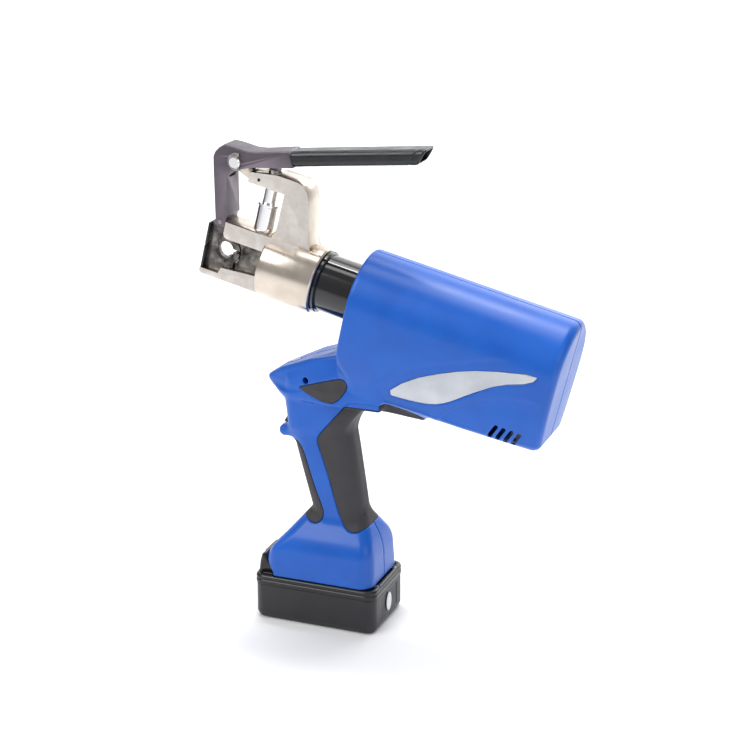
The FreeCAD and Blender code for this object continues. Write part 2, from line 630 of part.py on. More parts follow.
def make_arch():
    """The plated arch that carries the lever: rear leg, beam and a narrow nose for the pin."""
    body = new_body("lever_arch", TOOL)
    foot, low, high = dim.head_flat, dim.beam_low, dim.beam_high
    outline = [(-dim.leg_rear + 5.0, foot), (-dim.leg_rear + 1.0, foot + 7.0), (-dim.leg_rear - 6.0, low),
               (-dim.leg_rear - 9.5, high - 6.5), (-dim.leg_rear - 14.0, high - 1.5), (-dim.leg_rear - 20.0, high),
               (-dim.leg_rear - 40.0, high), (-dim.beam_front, high - 5.0), (-dim.pivot_station + 8.0, high + 2.0),
               (-dim.pivot_station + 4.0, dim.pivot_height + 6.3), (-dim.pivot_station - 3.0, dim.pivot_height + 6.8),
               (-dim.pivot_station - 7.3, dim.pivot_height + 1.5), (-dim.pivot_station - 6.0, dim.pivot_height - 4.5),
               (-dim.pivot_station + 1.0, low + 4.5), (-dim.beam_front, low), (-dim.leg_front, low),
               (-dim.leg_front - 0.5, foot + 6.0), (-dim.leg_front - 3.5, foot)]
    pad(body, "XZ", -dim.arch_half, dim.arch_half, outline)
    for side in (-1.0, 1.0):
        pocket(body, "XY", low - 2.0, high + 20.0,
               box_points(-dim.pivot_station - 12.0, -dim.beam_front, dim.nose_half * side, dim.arch_half * side * 1.3))
    pocket(body, "XZ", -dim.arch_half, dim.arch_half, centre=(-dim.pivot_station, dim.pivot_height),
           radius=dim.pin_radius + dim.running_fit)
    pocket(body, "XZ", -dim.arch_half - 1.0, dim.arch_half + 1.0, centre=(-78.0, low + 5.2), radius=1.5)
    pocket(body, "XY", low - 5.0, high + 5.0, centre=(-dim.column_station, 0.0),
           radius=dim.plunger_radius + dim.running_fit)


def make_column():
    """Sleeve, collar, sprung plunger and its spring, square to the head's top."""
    place = TOOL.multiply(Placement(Vector(-float(dim.column_station), 0, 0), Rotation()))
    bottom = dim.roof_height + 2.5
    turned("column_sleeve", place, [
        (0.0, bottom), (dim.sleeve_radius, bottom), (dim.sleeve_radius, dim.sleeve_top),
        (dim.plunger_radius + dim.running_fit, dim.sleeve_top), (dim.plunger_radius + dim.running_fit, bottom + 2.5),
        (0.0, bottom + 2.5)], "V_Axis")
    turned("column_collar", place, [
        (dim.plunger_radius + dim.running_fit, dim.sleeve_top), (dim.sleeve_radius, dim.sleeve_top),
        (dim.collar_radius, dim.sleeve_top + 0.8), (dim.collar_radius, dim.sleeve_top + dim.collar_height),
        (dim.plunger_radius + dim.running_fit, dim.sleeve_top + dim.collar_height)], "V_Axis")
    seat = bottom + 14.0
    turned("spring_plunger", place, [
        (0.0, seat), (dim.plunger_radius, seat), (dim.plunger_radius, dim.plunger_top - 1.2),
        (dim.plunger_radius - 1.2, dim.plunger_top), (0.0, dim.plunger_top)], "V_Axis")
    start = float(bottom) + 2.6 + 0.9
    coil("plunger_spring", place.multiply(Placement(Vector(0, 0, start), Rotation())),
         float(dim.plunger_radius) - 1.4, 0.8, float(seat) - start - 1.0, 4)


def from_pivot(station, height):
    """A head point, by its station and height over the axis, as seen from the lever's pivot."""
    lean = math.radians(float(dim.tool_tilt))
    ahead, up = station - dim.pivot_station, height - dim.pivot_height
    return (-ahead * math.cos(lean) + up * math.sin(lean), ahead * math.sin(lean) + up * math.cos(lean))


def make_lever():
    """The forged hand lever in the pivot's frame, its grip sleeve, pins and clips."""
    slope = math.tan(math.radians(float(dim.lever_slope)))
    body = new_body("hand_lever", LEVER)
    top_end = dim.bar_top
    low_end = top_end - dim.lever_grip_height
    jaw_top = dim.roof_height - 0.4
    pad(body, "XZ", -dim.lever_half, dim.lever_half, [
        from_pivot(dim.cheek_front + 0.6, jaw_top), from_pivot(dim.lip_front - 6.0, jaw_top),
        (-dim.arm_front, -dim.arm_drop), (-dim.arm_front - 0.5, -6.0), (-dim.arm_front - 0.4, 3.0),
        (-dim.arm_front + 1.6, 8.0), (-dim.arm_front + 5.0, 11.4), (-12.0, 14.4),
        (-5.0, 13.6), (12.0, 9.7), (20.0, 9.6), (dim.bar_end - 2.0, top_end),
        (dim.bar_end + 2.0, low_end), (20.0, -4.2), (13.0, -4.6), (-3.0, -8.6),
        (-dim.arm_rear, -14.5), from_pivot(dim.cheek_front - 0.6, dim.head_radius + 2.0),
        from_pivot(dim.cheek_front + 0.6, dim.head_radius)])
    pocket(body, "XZ", -dim.fork_half, dim.fork_half, [
        (-16.0, -16.0), (-16.0, 6.0), (-12.0, 9.2), (6.0, 9.2), (25.0, -1.0), (25.0, -16.0)])
    lug_rear, lug_front = dim.lug_station - 3.5, dim.lug_station + 3.5
    pocket(body, "XZ", -dim.lug_half, dim.lug_half, [
        from_pivot(lug_rear, jaw_top - 1.0), from_pivot(lug_front, jaw_top - 1.0), from_pivot(lug_front, dim.lug_top),
        from_pivot(lug_rear, dim.lug_top)])
    pocket(body, "XZ", -dim.lever_half - 1.0, dim.lever_half + 1.0,
           centre=from_pivot(dim.lug_station, dim.lug_top - 4.0), radius=dim.lug_pin)
    middle = (top_end + low_end) / 2.0
    far = dim.lever_grip_length * 0.83
    tongue_drop = dim.tongue_height / 2.0
    pad(body, "XZ", -dim.tongue_half, dim.tongue_half, [
        (dim.bar_end - 6.0, middle - tongue_drop - 0.5), (dim.bar_end + far, middle + far * slope - tongue_drop),
        (dim.bar_end + far, middle + far * slope + tongue_drop), (dim.bar_end - 6.0, middle + tongue_drop - 0.5)])
    pocket(body, "XZ", -dim.lever_half - 1.0, dim.lever_half + 1.0, centre=(0.0, 0.0),
           radius=dim.pin_radius)
    soften(body, 1.6, lambda at, along, edge: abs(abs(at.y) - float(dim.lever_half)) < 0.01
           and at.z > 8.0 and abs(along.y) < 0.1)
    make_lever_grip(slope, top_end, low_end, middle, far, tongue_drop)
    pin_radius, pin_half = dim.pin_radius, dim.pin_half
    side_place = LEVER.multiply(Placement(Vector(), Rotation(Vector(0, 0, 1), 90)))
    turned("pivot_pin", side_place, [
        (-pin_half, 0.0), (-pin_half, pin_radius - 1.0), (-pin_half + 1.0, pin_radius),
        (pin_half - 1.0, pin_radius), (pin_half, pin_radius - 1.0), (pin_half, 0.0)])
    lug_place = TOOL.multiply(Placement(Vector(-float(dim.lug_station), 0, float(dim.lug_top) - 4.0),
                                        Rotation(Vector(0, 0, 1), 90)))
    turned("jaw_pin", lug_place, box_points(-dim.lever_half - 0.8, dim.lever_half + 0.8, 0.0, dim.lug_pin))
    clips = []
    for side in (-1, 1):
        ring = Part.makeCylinder(8.0, 1.2).cut(Part.makeCylinder(float(pin_radius), 1.2))
        ring = ring.cut(Part.makeBox(6.0, 20.0, 1.2, Vector(3.0, -10.0, 0)))
        start = float(dim.lever_half) if side > 0 else -float(dim.lever_half) - 1.2
        ring.Placement = Placement(Vector(0, start, 0), Rotation(Vector(1, 0, 0), -90))
        clips.append(ring)
    group("pin_clips", clips, LEVER)


def make_lever_grip(slope, top_end, low_end, middle, far, tongue_drop):
    """The dipped sleeve on the lever, cut off at a slant with a hollow lip."""
    body = new_body("lever_grip", LEVER)
    length = dim.lever_grip_length
    half = dim.lever_grip_half
    pad(body, "XZ", -half, half, [
        (dim.bar_end - 2.0, top_end), (dim.bar_end + 2.0, low_end), (dim.bar_end + length, low_end + length * slope),
        (dim.bar_end + length + 7.0, low_end + length * slope + 6.0),
        (dim.bar_end + length + 10.5, top_end + length * slope + 2.2),
        (dim.bar_end + length + 1.0, top_end + length * slope)])
    soften(body, 4.4, lambda at, along, edge: abs(abs(at.y) - float(half)) < 0.01
           and abs(along.x) > 0.9 and edge.Length > 100.0)
    pocket(body, "XZ", -dim.tongue_half, dim.tongue_half, [
        (dim.bar_end - 6.0, middle - tongue_drop - 0.5), (dim.bar_end + far, middle + far * slope - tongue_drop),
        (dim.bar_end + far, middle + far * slope + tongue_drop), (dim.bar_end - 6.0, middle + tongue_drop - 0.5)])
    mouth = dim.bar_end + length - 6.0
    pocket(body, "XZ", -half + 3.0, half - 3.0, [
        (mouth, middle + length * slope - 5.0), (dim.bar_end + length + 14.0, middle + length * slope - 2.0),
        (dim.bar_end + length + 14.0, middle + length * slope + 7.0), (mouth, middle + length * slope + 4.4)])


# ---------------------------------------------------------------- hydraulics, pump and motor

def make_hydraulics():
    """Cylinder, neck ring, piston with its rod, seal and return spring; the rod's end is cut half away past the guide."""
    rear = dim.cylinder_rear
    ring_front = -dim.head_rear + 0.3
    turned("hydraulic_cylinder", TOOL, [
        (-dim.head_rear - dim.spigot_length, dim.bore_radius), (-dim.head_rear - dim.spigot_length, dim.spigot_radius),
        (ring_front + 4.0, dim.spigot_radius), (ring_front + 4.0, dim.neck_radius), (rear, dim.neck_radius),
        (rear, 0.0), (rear - 8.0, 0.0), (rear - 8.0, dim.bore_radius)])
    turned("neck_ring", TOOL, [
        (ring_front, dim.spigot_radius), (ring_front, dim.neck_ring_radius - 1.0), (ring_front + 1.0, dim.neck_ring_radius),
        (ring_front + 3.0, dim.neck_ring_radius), (ring_front + 4.0, dim.neck_ring_radius - 1.0),
        (ring_front + 4.0, dim.spigot_radius)])
    crown, skirt = dim.piston_crown, dim.piston_skirt
    piston_radius = dim.bore_radius - dim.running_fit
    piston = turned("piston", TOOL, [
        (-dim.head_shoulder, 0.0), (-dim.head_shoulder, dim.rod_radius), (crown, dim.rod_radius),
        (crown, piston_radius), (crown + 5.0, piston_radius), (crown + 5.0, piston_radius - 2.4),
        (crown + 9.0, piston_radius - 2.4), (crown + 9.0, piston_radius), (skirt, piston_radius), (skirt, 0.0)])
    flat_end = -dim.head_shoulder + dim.blade_travel + 1.5
    pocket(piston, "XZ", -dim.rod_radius - 1.0, 0.0,
           box_points(-dim.head_shoulder - 1.0, flat_end, -dim.rod_radius - 1.0, dim.rod_radius + 1.0))
    turned("piston_seal", TOOL, ring_points(crown + 5.0, crown + 9.0, piston_radius - 2.4, piston_radius))
    start = -float(dim.chamber_depth) + 1.6
    coil("return_spring", along_tool(start), float(dim.rod_radius) + 2.2, 1.3, float(crown) - 1.6 - start, 8)


def make_pump():
    """Pump block, plunger, eccentric shaft, gearbox and oil bladder."""
    front, rear = dim.cylinder_rear, dim.pump_rear
    half = dim.pump_half
    block = new_body("pump_block", TOOL)
    cut = half * 0.35
    pad(block, "YZ", front, rear, [
        (-half, -half + cut), (-half + cut, -half), (half - cut, -half), (half, -half + cut), (half, half - cut),
        (half - cut, half), (-half + cut, half), (-half, half - cut)])
    chamber = dim.ecc_radius + dim.ecc_offset * 2.0 + 1.5
    pocket(block, "YZ", front + 10.0, rear + 1.0, centre=(0.0, 0.0), radius=chamber)
    station = front + 19.0
    plunger = dim.ecc_radius * 0.7
    bottom = dim.ecc_radius + dim.ecc_offset + 0.3
    pocket(block, "XY", 0.0, half + 1.0, centre=(station, 0.0), radius=plunger + dim.running_fit)
    place = TOOL.multiply(Placement(Vector(float(station), 0, 0), Rotation()))
    turned("pump_plunger", place, box_points(0.0, plunger, bottom, half - 2.0), "V_Axis")
    shaft = new_body("eccentric_shaft", TOOL)
    pad(shaft, "YZ", front + 11.0, rear + 8.0, centre=(0.0, 0.0), radius=dim.ecc_radius - 2.0)
    pad(shaft, "YZ", station - 5.0, station + 5.0, centre=(0.0, dim.ecc_offset), radius=dim.ecc_radius)
    wall = dim.gear_wall
    tail = dim.gearbox_rear
    turned("gearbox_case", TOOL, [
        (rear, dim.ecc_radius), (rear, dim.gearbox_radius), (tail, dim.gearbox_radius), (tail, dim.shaft_radius + 0.6),
        (tail - wall, dim.shaft_radius + 0.6), (tail - wall, dim.gearbox_radius - wall),
        (rear + wall, dim.gearbox_radius - wall), (rear + wall, dim.ecc_radius)])
    stage = new_body("planetary_stage", TOOL)
    pad(stage, "YZ", rear + 8.0, rear + 11.0, centre=(0.0, 0.0), radius=dim.gearbox_radius - wall - 1.5)
    add_planets(stage, rear, wall)
    turned("sun_pinion", TOOL, ring_points(rear + 12.5, tail - wall - 0.5, dim.shaft_radius, dim.shaft_radius + 2.5))
    bladder = rounded_rectangle(35.0, 19.0, 9.0)
    solid = Part.Face(bladder).extrude(Vector(0, 0, 30.0))
    feature_part("oil_bladder", solid.makeFillet(6.0, [edge for edge in solid.Edges if edge.BoundBox.ZLength < 0.01]),
                 TOOL.multiply(Placement(Vector(float(rear) + 10.0, 0, -float(half) - 36.0), Rotation())))


def add_planets(stage, rear, wall):
    """Three planet wheels on the carrier, by a polar pattern."""
    orbit = (dim.gearbox_radius - wall + dim.shaft_radius + 2.5) / 2.0
    radius = (dim.gearbox_radius - wall - dim.shaft_radius - 2.5) / 2.0 - 0.6
    first = pad(stage, "YZ", rear + 11.0, dim.gearbox_rear - wall - 1.0, centre=(orbit, 0.0), radius=radius)
    doc.recompute()
    pattern = stage.newObject("PartDesign::PolarPattern", "planets")
    pattern.Originals = [first]
    pattern.Axis = ([item for item in stage.Origin.OriginFeatures if item.Role == "X_Axis"][0], [""])
    pattern.Angle = 360
    pattern.Occurrences = 3
    stage.Tip = pattern


def make_motor():
    """Motor can, its two bearings, rotor on its shaft and cooling fan."""
    front, rear = dim.gearbox_rear, dim.motor_rear
    can = dim.motor_radius
    turned("motor_can", TOOL, [
        (front, dim.shaft_radius + 6.0), (front, can), (rear, can), (rear, dim.shaft_radius + 6.0),
        (rear - 2.0, dim.shaft_radius + 6.0), (rear - 2.0, can - 2.0), (front + 2.0, can - 2.0),
        (front + 2.0, dim.shaft_radius + 6.0)])
    rings = []
    for start in (float(front), float(rear) - 4.0):
        ring = Part.makeCylinder(float(dim.shaft_radius) + 6.0, 4.0, Vector(start, 0, 0), Vector(1, 0, 0))
        hole = Part.makeCylinder(float(dim.shaft_radius + dim.running_fit), 4.0, Vector(start, 0, 0), Vector(1, 0, 0))
        rings.append(ring.cut(hole))
    group("motor_bearings", rings, TOOL)
    shaft, core = dim.shaft_radius, dim.rotor_radius
    turned("rotor", TOOL, [
        (front - 10.5, 0.0), (front - 10.5, shaft), (front + 10.0, shaft), (front + 10.0, core),
        (rear - 10.0, core), (rear - 10.0, shaft), (rear + 12.0, shaft), (rear + 12.0, 0.0)])
    fan = new_body("cooling_fan", TOOL)
    pad(fan, "YZ", rear + 3.0, rear + 5.0, centre=(0.0, 0.0), radius=dim.fan_radius)
    blade = pad(fan, "YZ", rear + 5.0, rear + 11.0, box_points(7.0, dim.fan_radius - 1.0, -0.8, 0.8))
    doc.recompute()
    pattern = fan.newObject("PartDesign::PolarPattern", "blades")
    pattern.Originals = [blade]
    pattern.Axis = ([item for item in fan.Origin.OriginFeatures if item.Role == "X_Axis"][0], [""])
    pattern.Angle = 360
    pattern.Occurrences = 9
    fan.Tip = pattern
    pocket(fan, "YZ", rear, rear + 14.0, centre=(0.0, 0.0), radius=shaft)


# ---------------------------------------------------------------- grip contents and battery

def make_controls():
    """Trigger, its spring and switch, the control board and the terminal block."""
    low, high, face = dim.trigger_low, dim.trigger_high, dim.trigger_face
    back = dim.switch_front + dim.trigger_travel + 0.6
    body = new_body("trigger")
    half = dim.trigger_width / 2.0
    middle = (low + high) / 2.0
    pad(body, "XZ", -half, half, [
        (-face, low), (-back, low), (-back, high - 0.5), (-face + 1.0, high - 0.5), (-face + 4.2, middle + 6.0),
        (-face + 4.8, middle), (-face + 4.0, middle - 6.0)])
    soften(body, 2.2, lambda at, along, edge: abs(abs(at.y) - float(half)) < 0.01
           and at.x < -float(face) + 5.5 and abs(along.y) < 0.1)
    box = new_body("trigger_switch")
    pad(box, "XZ", -half, half, box_points(-dim.switch_front, -dim.switch_front + 27.0, low + 1.0, high - 1.0))
    coil("trigger_spring", Placement(Vector(-float(back) + 0.8, 0, float(middle)), Rotation(Vector(0, 1, 0), 90)),
         3.2, 0.6, float(back) - float(dim.switch_front) - 1.7, 2)
    board = new_body("control_board")
    pad(board, "XY", dim.shoe_knee - 6.0, dim.shoe_knee - 4.4, box_points(-22.0, 34.0, -20.0, 20.0))
    block = new_body("terminal_block")
    base = dim.tower_top + 0.3
    pad(block, "XY", base, base + 7.0, box_points(-22.0, 34.0, -15.0, 15.0))


def make_battery():
    """Battery case, lid with its tower, cells, screws, contacts, label and latch."""
    half_x, half_y = float(dim.battery_length) / 2.0, float(dim.battery_width) / 2.0
    rim, seam = float(dim.battery_rim), float(dim.battery_rim) - float(dim.rim_drop)
    wall = float(dim.battery_wall)
    skin_x, skin_y = half_x - 0.6, half_y - 0.6
    case = section_solid(((half_x - 4.0, half_y - 4.0, 0.0), (skin_x, skin_y, 5.0), (skin_x, skin_y, seam)), 10.0)
    hollow = section_solid(((half_x - 5.5, half_y - 5.0, wall), (half_x - 5.5, half_y - 5.0, seam + 1.0)), 4.0)
    feature_part("battery_case", case.cut(hollow))
    rim_levels = ((half_x, half_y, seam), (half_x, half_y, rim - 2.0), (half_x - 2.0, half_y - 2.0, rim))
    lid = section_solid(rim_levels, 10.0)
    room = ((half_x - 6.0, half_y - 5.0, seam - 1.0), (half_x - 6.0, half_y - 5.0, rim - wall))
    tower_half, top = float(dim.tower_half), float(dim.tower_top)
    tower = Part.makeBox(58, tower_half * 2, top - rim + 1.0, Vector(-23, -tower_half, rim - 1.0))
    block_half = float(dim.nose_block_half)
    lid = lid.fuse([tower, slab(nose_block_outline(0.0, 0.0), -block_half, block_half)])
    latch_half, front = float(dim.latch_half) + 0.4, -half_x
    pocket_outline = [(front - 12.0, rim + 1.6), (front + 6.2, rim + 1.6), (front + 8.0, top - 1.0), (front - 12.0, top - 1.0)]
    lid = lid.cut([section_solid(room, 4.0), slab(pocket_outline, -latch_half, latch_half)])
    radius, length = float(dim.cell_radius), float(dim.cell_length)
    cells = []
    for row in range(2):
        for column in range(5):
            across = (column - 2) * radius * 2.03
            up = wall + 0.3 + radius + row * radius * 2.03
            cells.append(Part.makeCylinder(radius, length, Vector(across, -length / 2, up), Vector(0, 1, 0)))
    group("battery_cells", cells)
    screws = []
    for side in (-1, 1):
        shape = screw_shape(2.4, 1.6, 1.2, 6.0)
        shape.Placement = Placement(Vector(half_x - 3.8, side * (half_y - 17.0), rim), Rotation())
        screws.append(shape)
    feature_part("battery_lid", largest(lid.cut(screws)))
    group("battery_screws", screws)
    label = Part.Face(Part.Wire(Part.Ellipse(Vector(), 9.0, 6.0).toShape())).extrude(Vector(0, 0, 0.5))
    feature_part("battery_label", label,
                 Placement(Vector(half_x - 0.6, 0, seam * 0.55), Rotation(Vector(0, 1, 0), 90)))
    make_latch(half_x, rim)


def section_solid(levels, radius):
    """A ruled solid through rounded rectangles given as (half length, half width, height)."""
    wires = [section_wire(0.0, level, half_x, half_y, radius) for half_x, half_y, level in levels]
    return Part.makeLoft(wires, True, True)


def make_latch(half_x, rim):
    """The sprung latch button on the battery's front block, and its spring."""
    front, half = -dim.battery_length / 2.0, dim.latch_half
    low, high = dim.battery_rim + 2.0, dim.tower_top - 1.4
    body = new_body("battery_latch")
    pad(body, "XZ", -half, half, [(front - 1.2, low), (front + 2.4, low), (front + 4.2, high), (front + 0.8, high)])
    soften(body, 1.2, lambda at, along, edge: abs(abs(at.y) - float(half)) < 0.01
           and at.x < float(front) + 1.0 and abs(along.y) < 0.1)
    coil("latch_spring", Placement(Vector(-half_x + 4.1, 0, rim + 6.0), Rotation(Vector(0, 1, 0), 90)),
         2.6, 0.5, 2.1, 1.25)


make_body_shells()
make_head()
make_face_plates()
make_case_screws()
make_arch()
make_column()
make_lever()
make_hydraulics()
make_pump()
make_motor()
make_controls()
make_battery()


# ---------------------------------------------------------------- checks and export

doc.recompute()
for item in doc.Objects:
    if "Invalid" in item.State or "Error" in item.State:
        raise RuntimeError("%s (%s) failed: %s" % (item.Name, item.Label, item.State))
os.makedirs("parts", exist_ok=True)
for item in parts:
    if item.Shape.isNull() or not item.Shape.isValid():
        raise RuntimeError("%s has no valid shape" % item.Label)
    item.Shape.exportStep("parts/%s.step" % item.Label)
    print("%-22s solids %2d  volume %9.0f" % (item.Label, len(item.Shape.Solids), item.Shape.Volume))
print(len(parts), "nodes")
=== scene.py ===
"""Looks of a hand-held, battery-hydraulic rebar cutter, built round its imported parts.

Forms that are worked out as distances are in millimetres; everything handed to Blender is in metres.
The frame is the part's own: +Z up, -X towards the cutting head, -Y the tool's left side.
"""

import itertools
import json
import logging
import math
from dataclasses import dataclass
from enum import Enum

import bmesh
import bpy
import numpy as np
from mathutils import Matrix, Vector


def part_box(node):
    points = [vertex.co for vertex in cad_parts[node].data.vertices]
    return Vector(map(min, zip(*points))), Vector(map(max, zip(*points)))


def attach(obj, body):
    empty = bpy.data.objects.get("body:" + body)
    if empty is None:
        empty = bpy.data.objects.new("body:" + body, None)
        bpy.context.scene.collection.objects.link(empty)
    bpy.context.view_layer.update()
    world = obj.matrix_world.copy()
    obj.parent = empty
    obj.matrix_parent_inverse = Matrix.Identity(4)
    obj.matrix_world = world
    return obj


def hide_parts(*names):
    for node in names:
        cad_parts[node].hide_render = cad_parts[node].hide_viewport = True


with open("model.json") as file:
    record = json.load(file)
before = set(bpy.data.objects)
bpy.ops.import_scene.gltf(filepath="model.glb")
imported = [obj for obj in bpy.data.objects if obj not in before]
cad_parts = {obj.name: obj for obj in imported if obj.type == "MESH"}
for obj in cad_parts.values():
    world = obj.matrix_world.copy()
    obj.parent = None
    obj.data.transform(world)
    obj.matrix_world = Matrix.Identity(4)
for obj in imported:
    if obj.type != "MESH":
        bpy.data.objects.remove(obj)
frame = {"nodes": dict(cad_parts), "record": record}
log = logging.getLogger("rebar_cutter")

MM = 0.001
# The tool's axis: degrees from level, and its height over the frame's origin in millimetres.
TOOL_TILT = 13.5
AXIS_HEIGHT = 320.0
Point = tuple[float, float]
Place = tuple[float, float, float]
Colour = tuple[float, float, float]


# ---------------------------------------------------------------- finishes

class Texture(Enum):
    """How the fine relief of a finish lies."""

    MOULDED = "an even, very fine grain"
    BLASTED = "a coarser, matte grain"
    TURNED = "fine rings round the tool's axis"
    GROUND = "straight grinding lines"
    MOTTLED = "blotches of wear and oil"
    SMOOTH = "almost no relief"


@dataclass(frozen=True)
class Finish:
    """One surface finish: two colours that vary over the surface, gloss and relief."""

    name: str
    colour: Colour
    shade: Colour
    texture: Texture
    metallic: float = 0.0
    gloss_low: float = 0.35
    gloss_high: float = 0.5
    patch: float = 60.0
    grain: float = 1500.0
    relief: float = 0.05
    coat: float = 0.0
    # How much convex edges are lightened: scuffing on metal and paint, a painted highlight on plastic.
    edge_scuff_and_sheen: float = 0.0

    @staticmethod
    def linear(colour: Colour) -> tuple[float, float, float, float]:
        """Turn screen values from 0 to 255 into light.

        Args:
            colour: red, green and blue as a screen shows them.

        Returns:
            The colour as Blender's sockets want it, with an alpha of 1.
        """
        parts = [(value / 255.0 + 0.055) / 1.055 if value > 10 else value / 255.0 / 12.92 for value in colour]
        return tuple(part ** 2.4 if value > 10 else part for part, value in zip(parts, colour)) + (1.0,)

    def grain_scale(self) -> Vector:
        """Stretch of the relief's pattern along each axis."""
        if self.texture is Texture.TURNED:
            return Vector((1.0, 0.04, 0.04))
        if self.texture is Texture.GROUND:
            return Vector((0.06, 1.0, 1.0))
        return Vector((1.0, 1.0, 1.0))

    def material(self) -> bpy.types.Material:
        """Build the finish as a node material, or hand back the one already built.

        Returns:
            The material.
        """
        made = bpy.data.materials.get(self.name)
        if made:
            return made
        made = bpy.data.materials.new(self.name)
        made.use_nodes = True
        made.diffuse_color = self.linear(self.colour)
        nodes, links = made.node_tree.nodes, made.node_tree.links
        shader = nodes["Principled BSDF"]
        shader.inputs["Metallic"].default_value = self.metallic
        shader.inputs["Coat Weight"].default_value = self.coat
        shader.inputs["Coat Roughness"].default_value = 0.12
        place = nodes.new("ShaderNodeTexCoord")
        patches = nodes.new("ShaderNodeTexNoise")
        patches.inputs["Scale"].default_value = self.patch
        patches.inputs["Detail"].default_value = 4.0
        links.new(place.outputs["Object"], patches.inputs["Vector"])
        stretch = nodes.new("ShaderNodeMapping")
        stretch.inputs["Scale"].default_value = self.grain_scale()
        stretch.inputs["Rotation"].default_value = (0.0, math.radians(TOOL_TILT), 0.0)
        links.new(place.outputs["Object"], stretch.inputs["Vector"])
        grain = nodes.new("ShaderNodeTexNoise")
        grain.inputs["Scale"].default_value = self.grain
        grain.inputs["Detail"].default_value = 2.0
        links.new(stretch.outputs["Vector"], grain.inputs["Vector"])
        spread = nodes.new("ShaderNodeMapRange")
        spread.inputs["From Min"].default_value = 0.38
        spread.inputs["From Max"].default_value = 0.62
        links.new(patches.outputs["Fac"], spread.inputs["Value"])
        blend = nodes.new("ShaderNodeMix")
        blend.data_type = "RGBA"
        blend.inputs["A"].default_value = self.linear(self.colour)
        blend.inputs["B"].default_value = self.linear(self.shade)
        links.new(spread.outputs["Result"], blend.inputs["Factor"])
        colour_out = blend.outputs["Result"]
        # Convex edges are lightened: partly real scuffing, partly painted highlight.
        if self.edge_scuff_and_sheen:
            colour_out = self.add_edge_scuff_and_sheen(made, colour_out)
        links.new(colour_out, shader.inputs["Base Color"])
        gloss = nodes.new("ShaderNodeMapRange")
        gloss.inputs["From Min"].default_value = 0.35
        gloss.inputs["From Max"].default_value = 0.65
        gloss.inputs["To Min"].default_value = self.gloss_low
        gloss.inputs["To Max"].default_value = self.gloss_high
        links.new((grain if self.texture in (Texture.TURNED, Texture.GROUND) else patches).outputs["Fac"],
                  gloss.inputs["Value"])
        links.new(gloss.outputs["Result"], shader.inputs["Roughness"])
        bump = nodes.new("ShaderNodeBump")
        bump.inputs["Strength"].default_value = 0.6
        bump.inputs["Distance"].default_value = self.relief * MM
        links.new(grain.outputs["Fac"], bump.inputs["Height"])
        links.new(bump.outputs["Normal"], shader.inputs["Normal"])
        return made

    def add_edge_scuff_and_sheen(self, made: bpy.types.Material, colour: bpy.types.NodeSocket) -> bpy.types.NodeSocket:
        """Lighten the outward edges: a scuffed finish on metal and paint, a painted highlight on the plastic
        shells.

        Args:
            made: the material under construction.
            colour: the colour socket to lighten.

        Returns:
            The colour socket with the lightened edges mixed in.
        """
        nodes, links = made.node_tree.nodes, made.node_tree.links
        shape = nodes.new("ShaderNodeNewGeometry")
        edge = nodes.new("ShaderNodeMapRange")
        edge.inputs["From Min"].default_value = 0.53
        edge.inputs["From Max"].default_value = 0.62
        edge.inputs["To Max"].default_value = self.edge_scuff_and_sheen
        links.new(shape.outputs["Pointiness"], edge.inputs["Value"])
        scuffed_sheen_mix = nodes.new("ShaderNodeMix")
        scuffed_sheen_mix.data_type = "RGBA"
        # The lighter tint for convex edges: scuffed metal and paint, painted highlight on plastic.
        scuffed_sheen_colour = tuple(min(255.0, value * 1.5 + 40.0) for value in self.colour)
        scuffed_sheen_mix.inputs["B"].default_value = self.linear(scuffed_sheen_colour)
        links.new(edge.outputs["Result"], scuffed_sheen_mix.inputs["Factor"])
        links.new(colour, scuffed_sheen_mix.inputs["A"])
        return scuffed_sheen_mix.outputs["Result"]


# The edge lightening on the blue shell is a painted highlight.
BLUE_SHELL = Finish("blue_moulded_shell", (0, 86, 186), (0, 92, 195), Texture.MOULDED,
                    gloss_low=0.30, gloss_high=0.38, patch=25.0, grain=2600.0, relief=0.03, edge_scuff_and_sheen=0.25)
GRIP_RUBBER = Finish("charcoal_grip_rubber", (50, 48, 52), (57, 55, 59), Texture.MOULDED,
                     gloss_low=0.55, gloss_high=0.68, patch=70.0, grain=2200.0, relief=0.10)
SILVER_BADGE = Finish("blank_silver_badge", (202, 206, 212), (184, 189, 197), Texture.GROUND,
                      metallic=0.35, gloss_low=0.28, gloss_high=0.42, patch=30.0, grain=900.0, relief=0.01)
INDICATOR = Finish("indicator_window", (8, 36, 96), (14, 50, 120), Texture.SMOOTH,
                   gloss_low=0.05, gloss_high=0.12, patch=200.0, relief=0.005, coat=0.6)
NICKEL = Finish("polished_nickel_plate", (214, 204, 192), (196, 185, 172), Texture.TURNED,
                metallic=1.0, gloss_low=0.20, gloss_high=0.26, patch=45.0, grain=2600.0, relief=0.004)
NICKEL_BLASTED = Finish("blasted_nickel_plate", (222, 216, 211), (210, 203, 197), Texture.BLASTED,
                        metallic=0.6, gloss_low=0.42, gloss_high=0.56, patch=120.0, grain=1700.0, relief=0.09)
CHROME = Finish("bright_chrome", (104, 92, 83), (84, 74, 66), Texture.TURNED,
                metallic=1.0, gloss_low=0.09, gloss_high=0.14, patch=80.0, grain=2600.0, relief=0.002)
JAW_STEEL = Finish("ground_jaw_steel", (112, 108, 104), (34, 32, 33), Texture.MOTTLED, metallic=0.9,
                   gloss_low=0.26, gloss_high=0.5, patch=190.0, grain=700.0, relief=0.06, edge_scuff_and_sheen=0.5)
PLATE_BLACK = Finish("blued_face_plate", (34, 33, 35), (24, 23, 26), Texture.GROUND, metallic=0.8,
                     gloss_low=0.16, gloss_high=0.3, patch=90.0, grain=900.0, relief=0.02, edge_scuff_and_sheen=0.8)
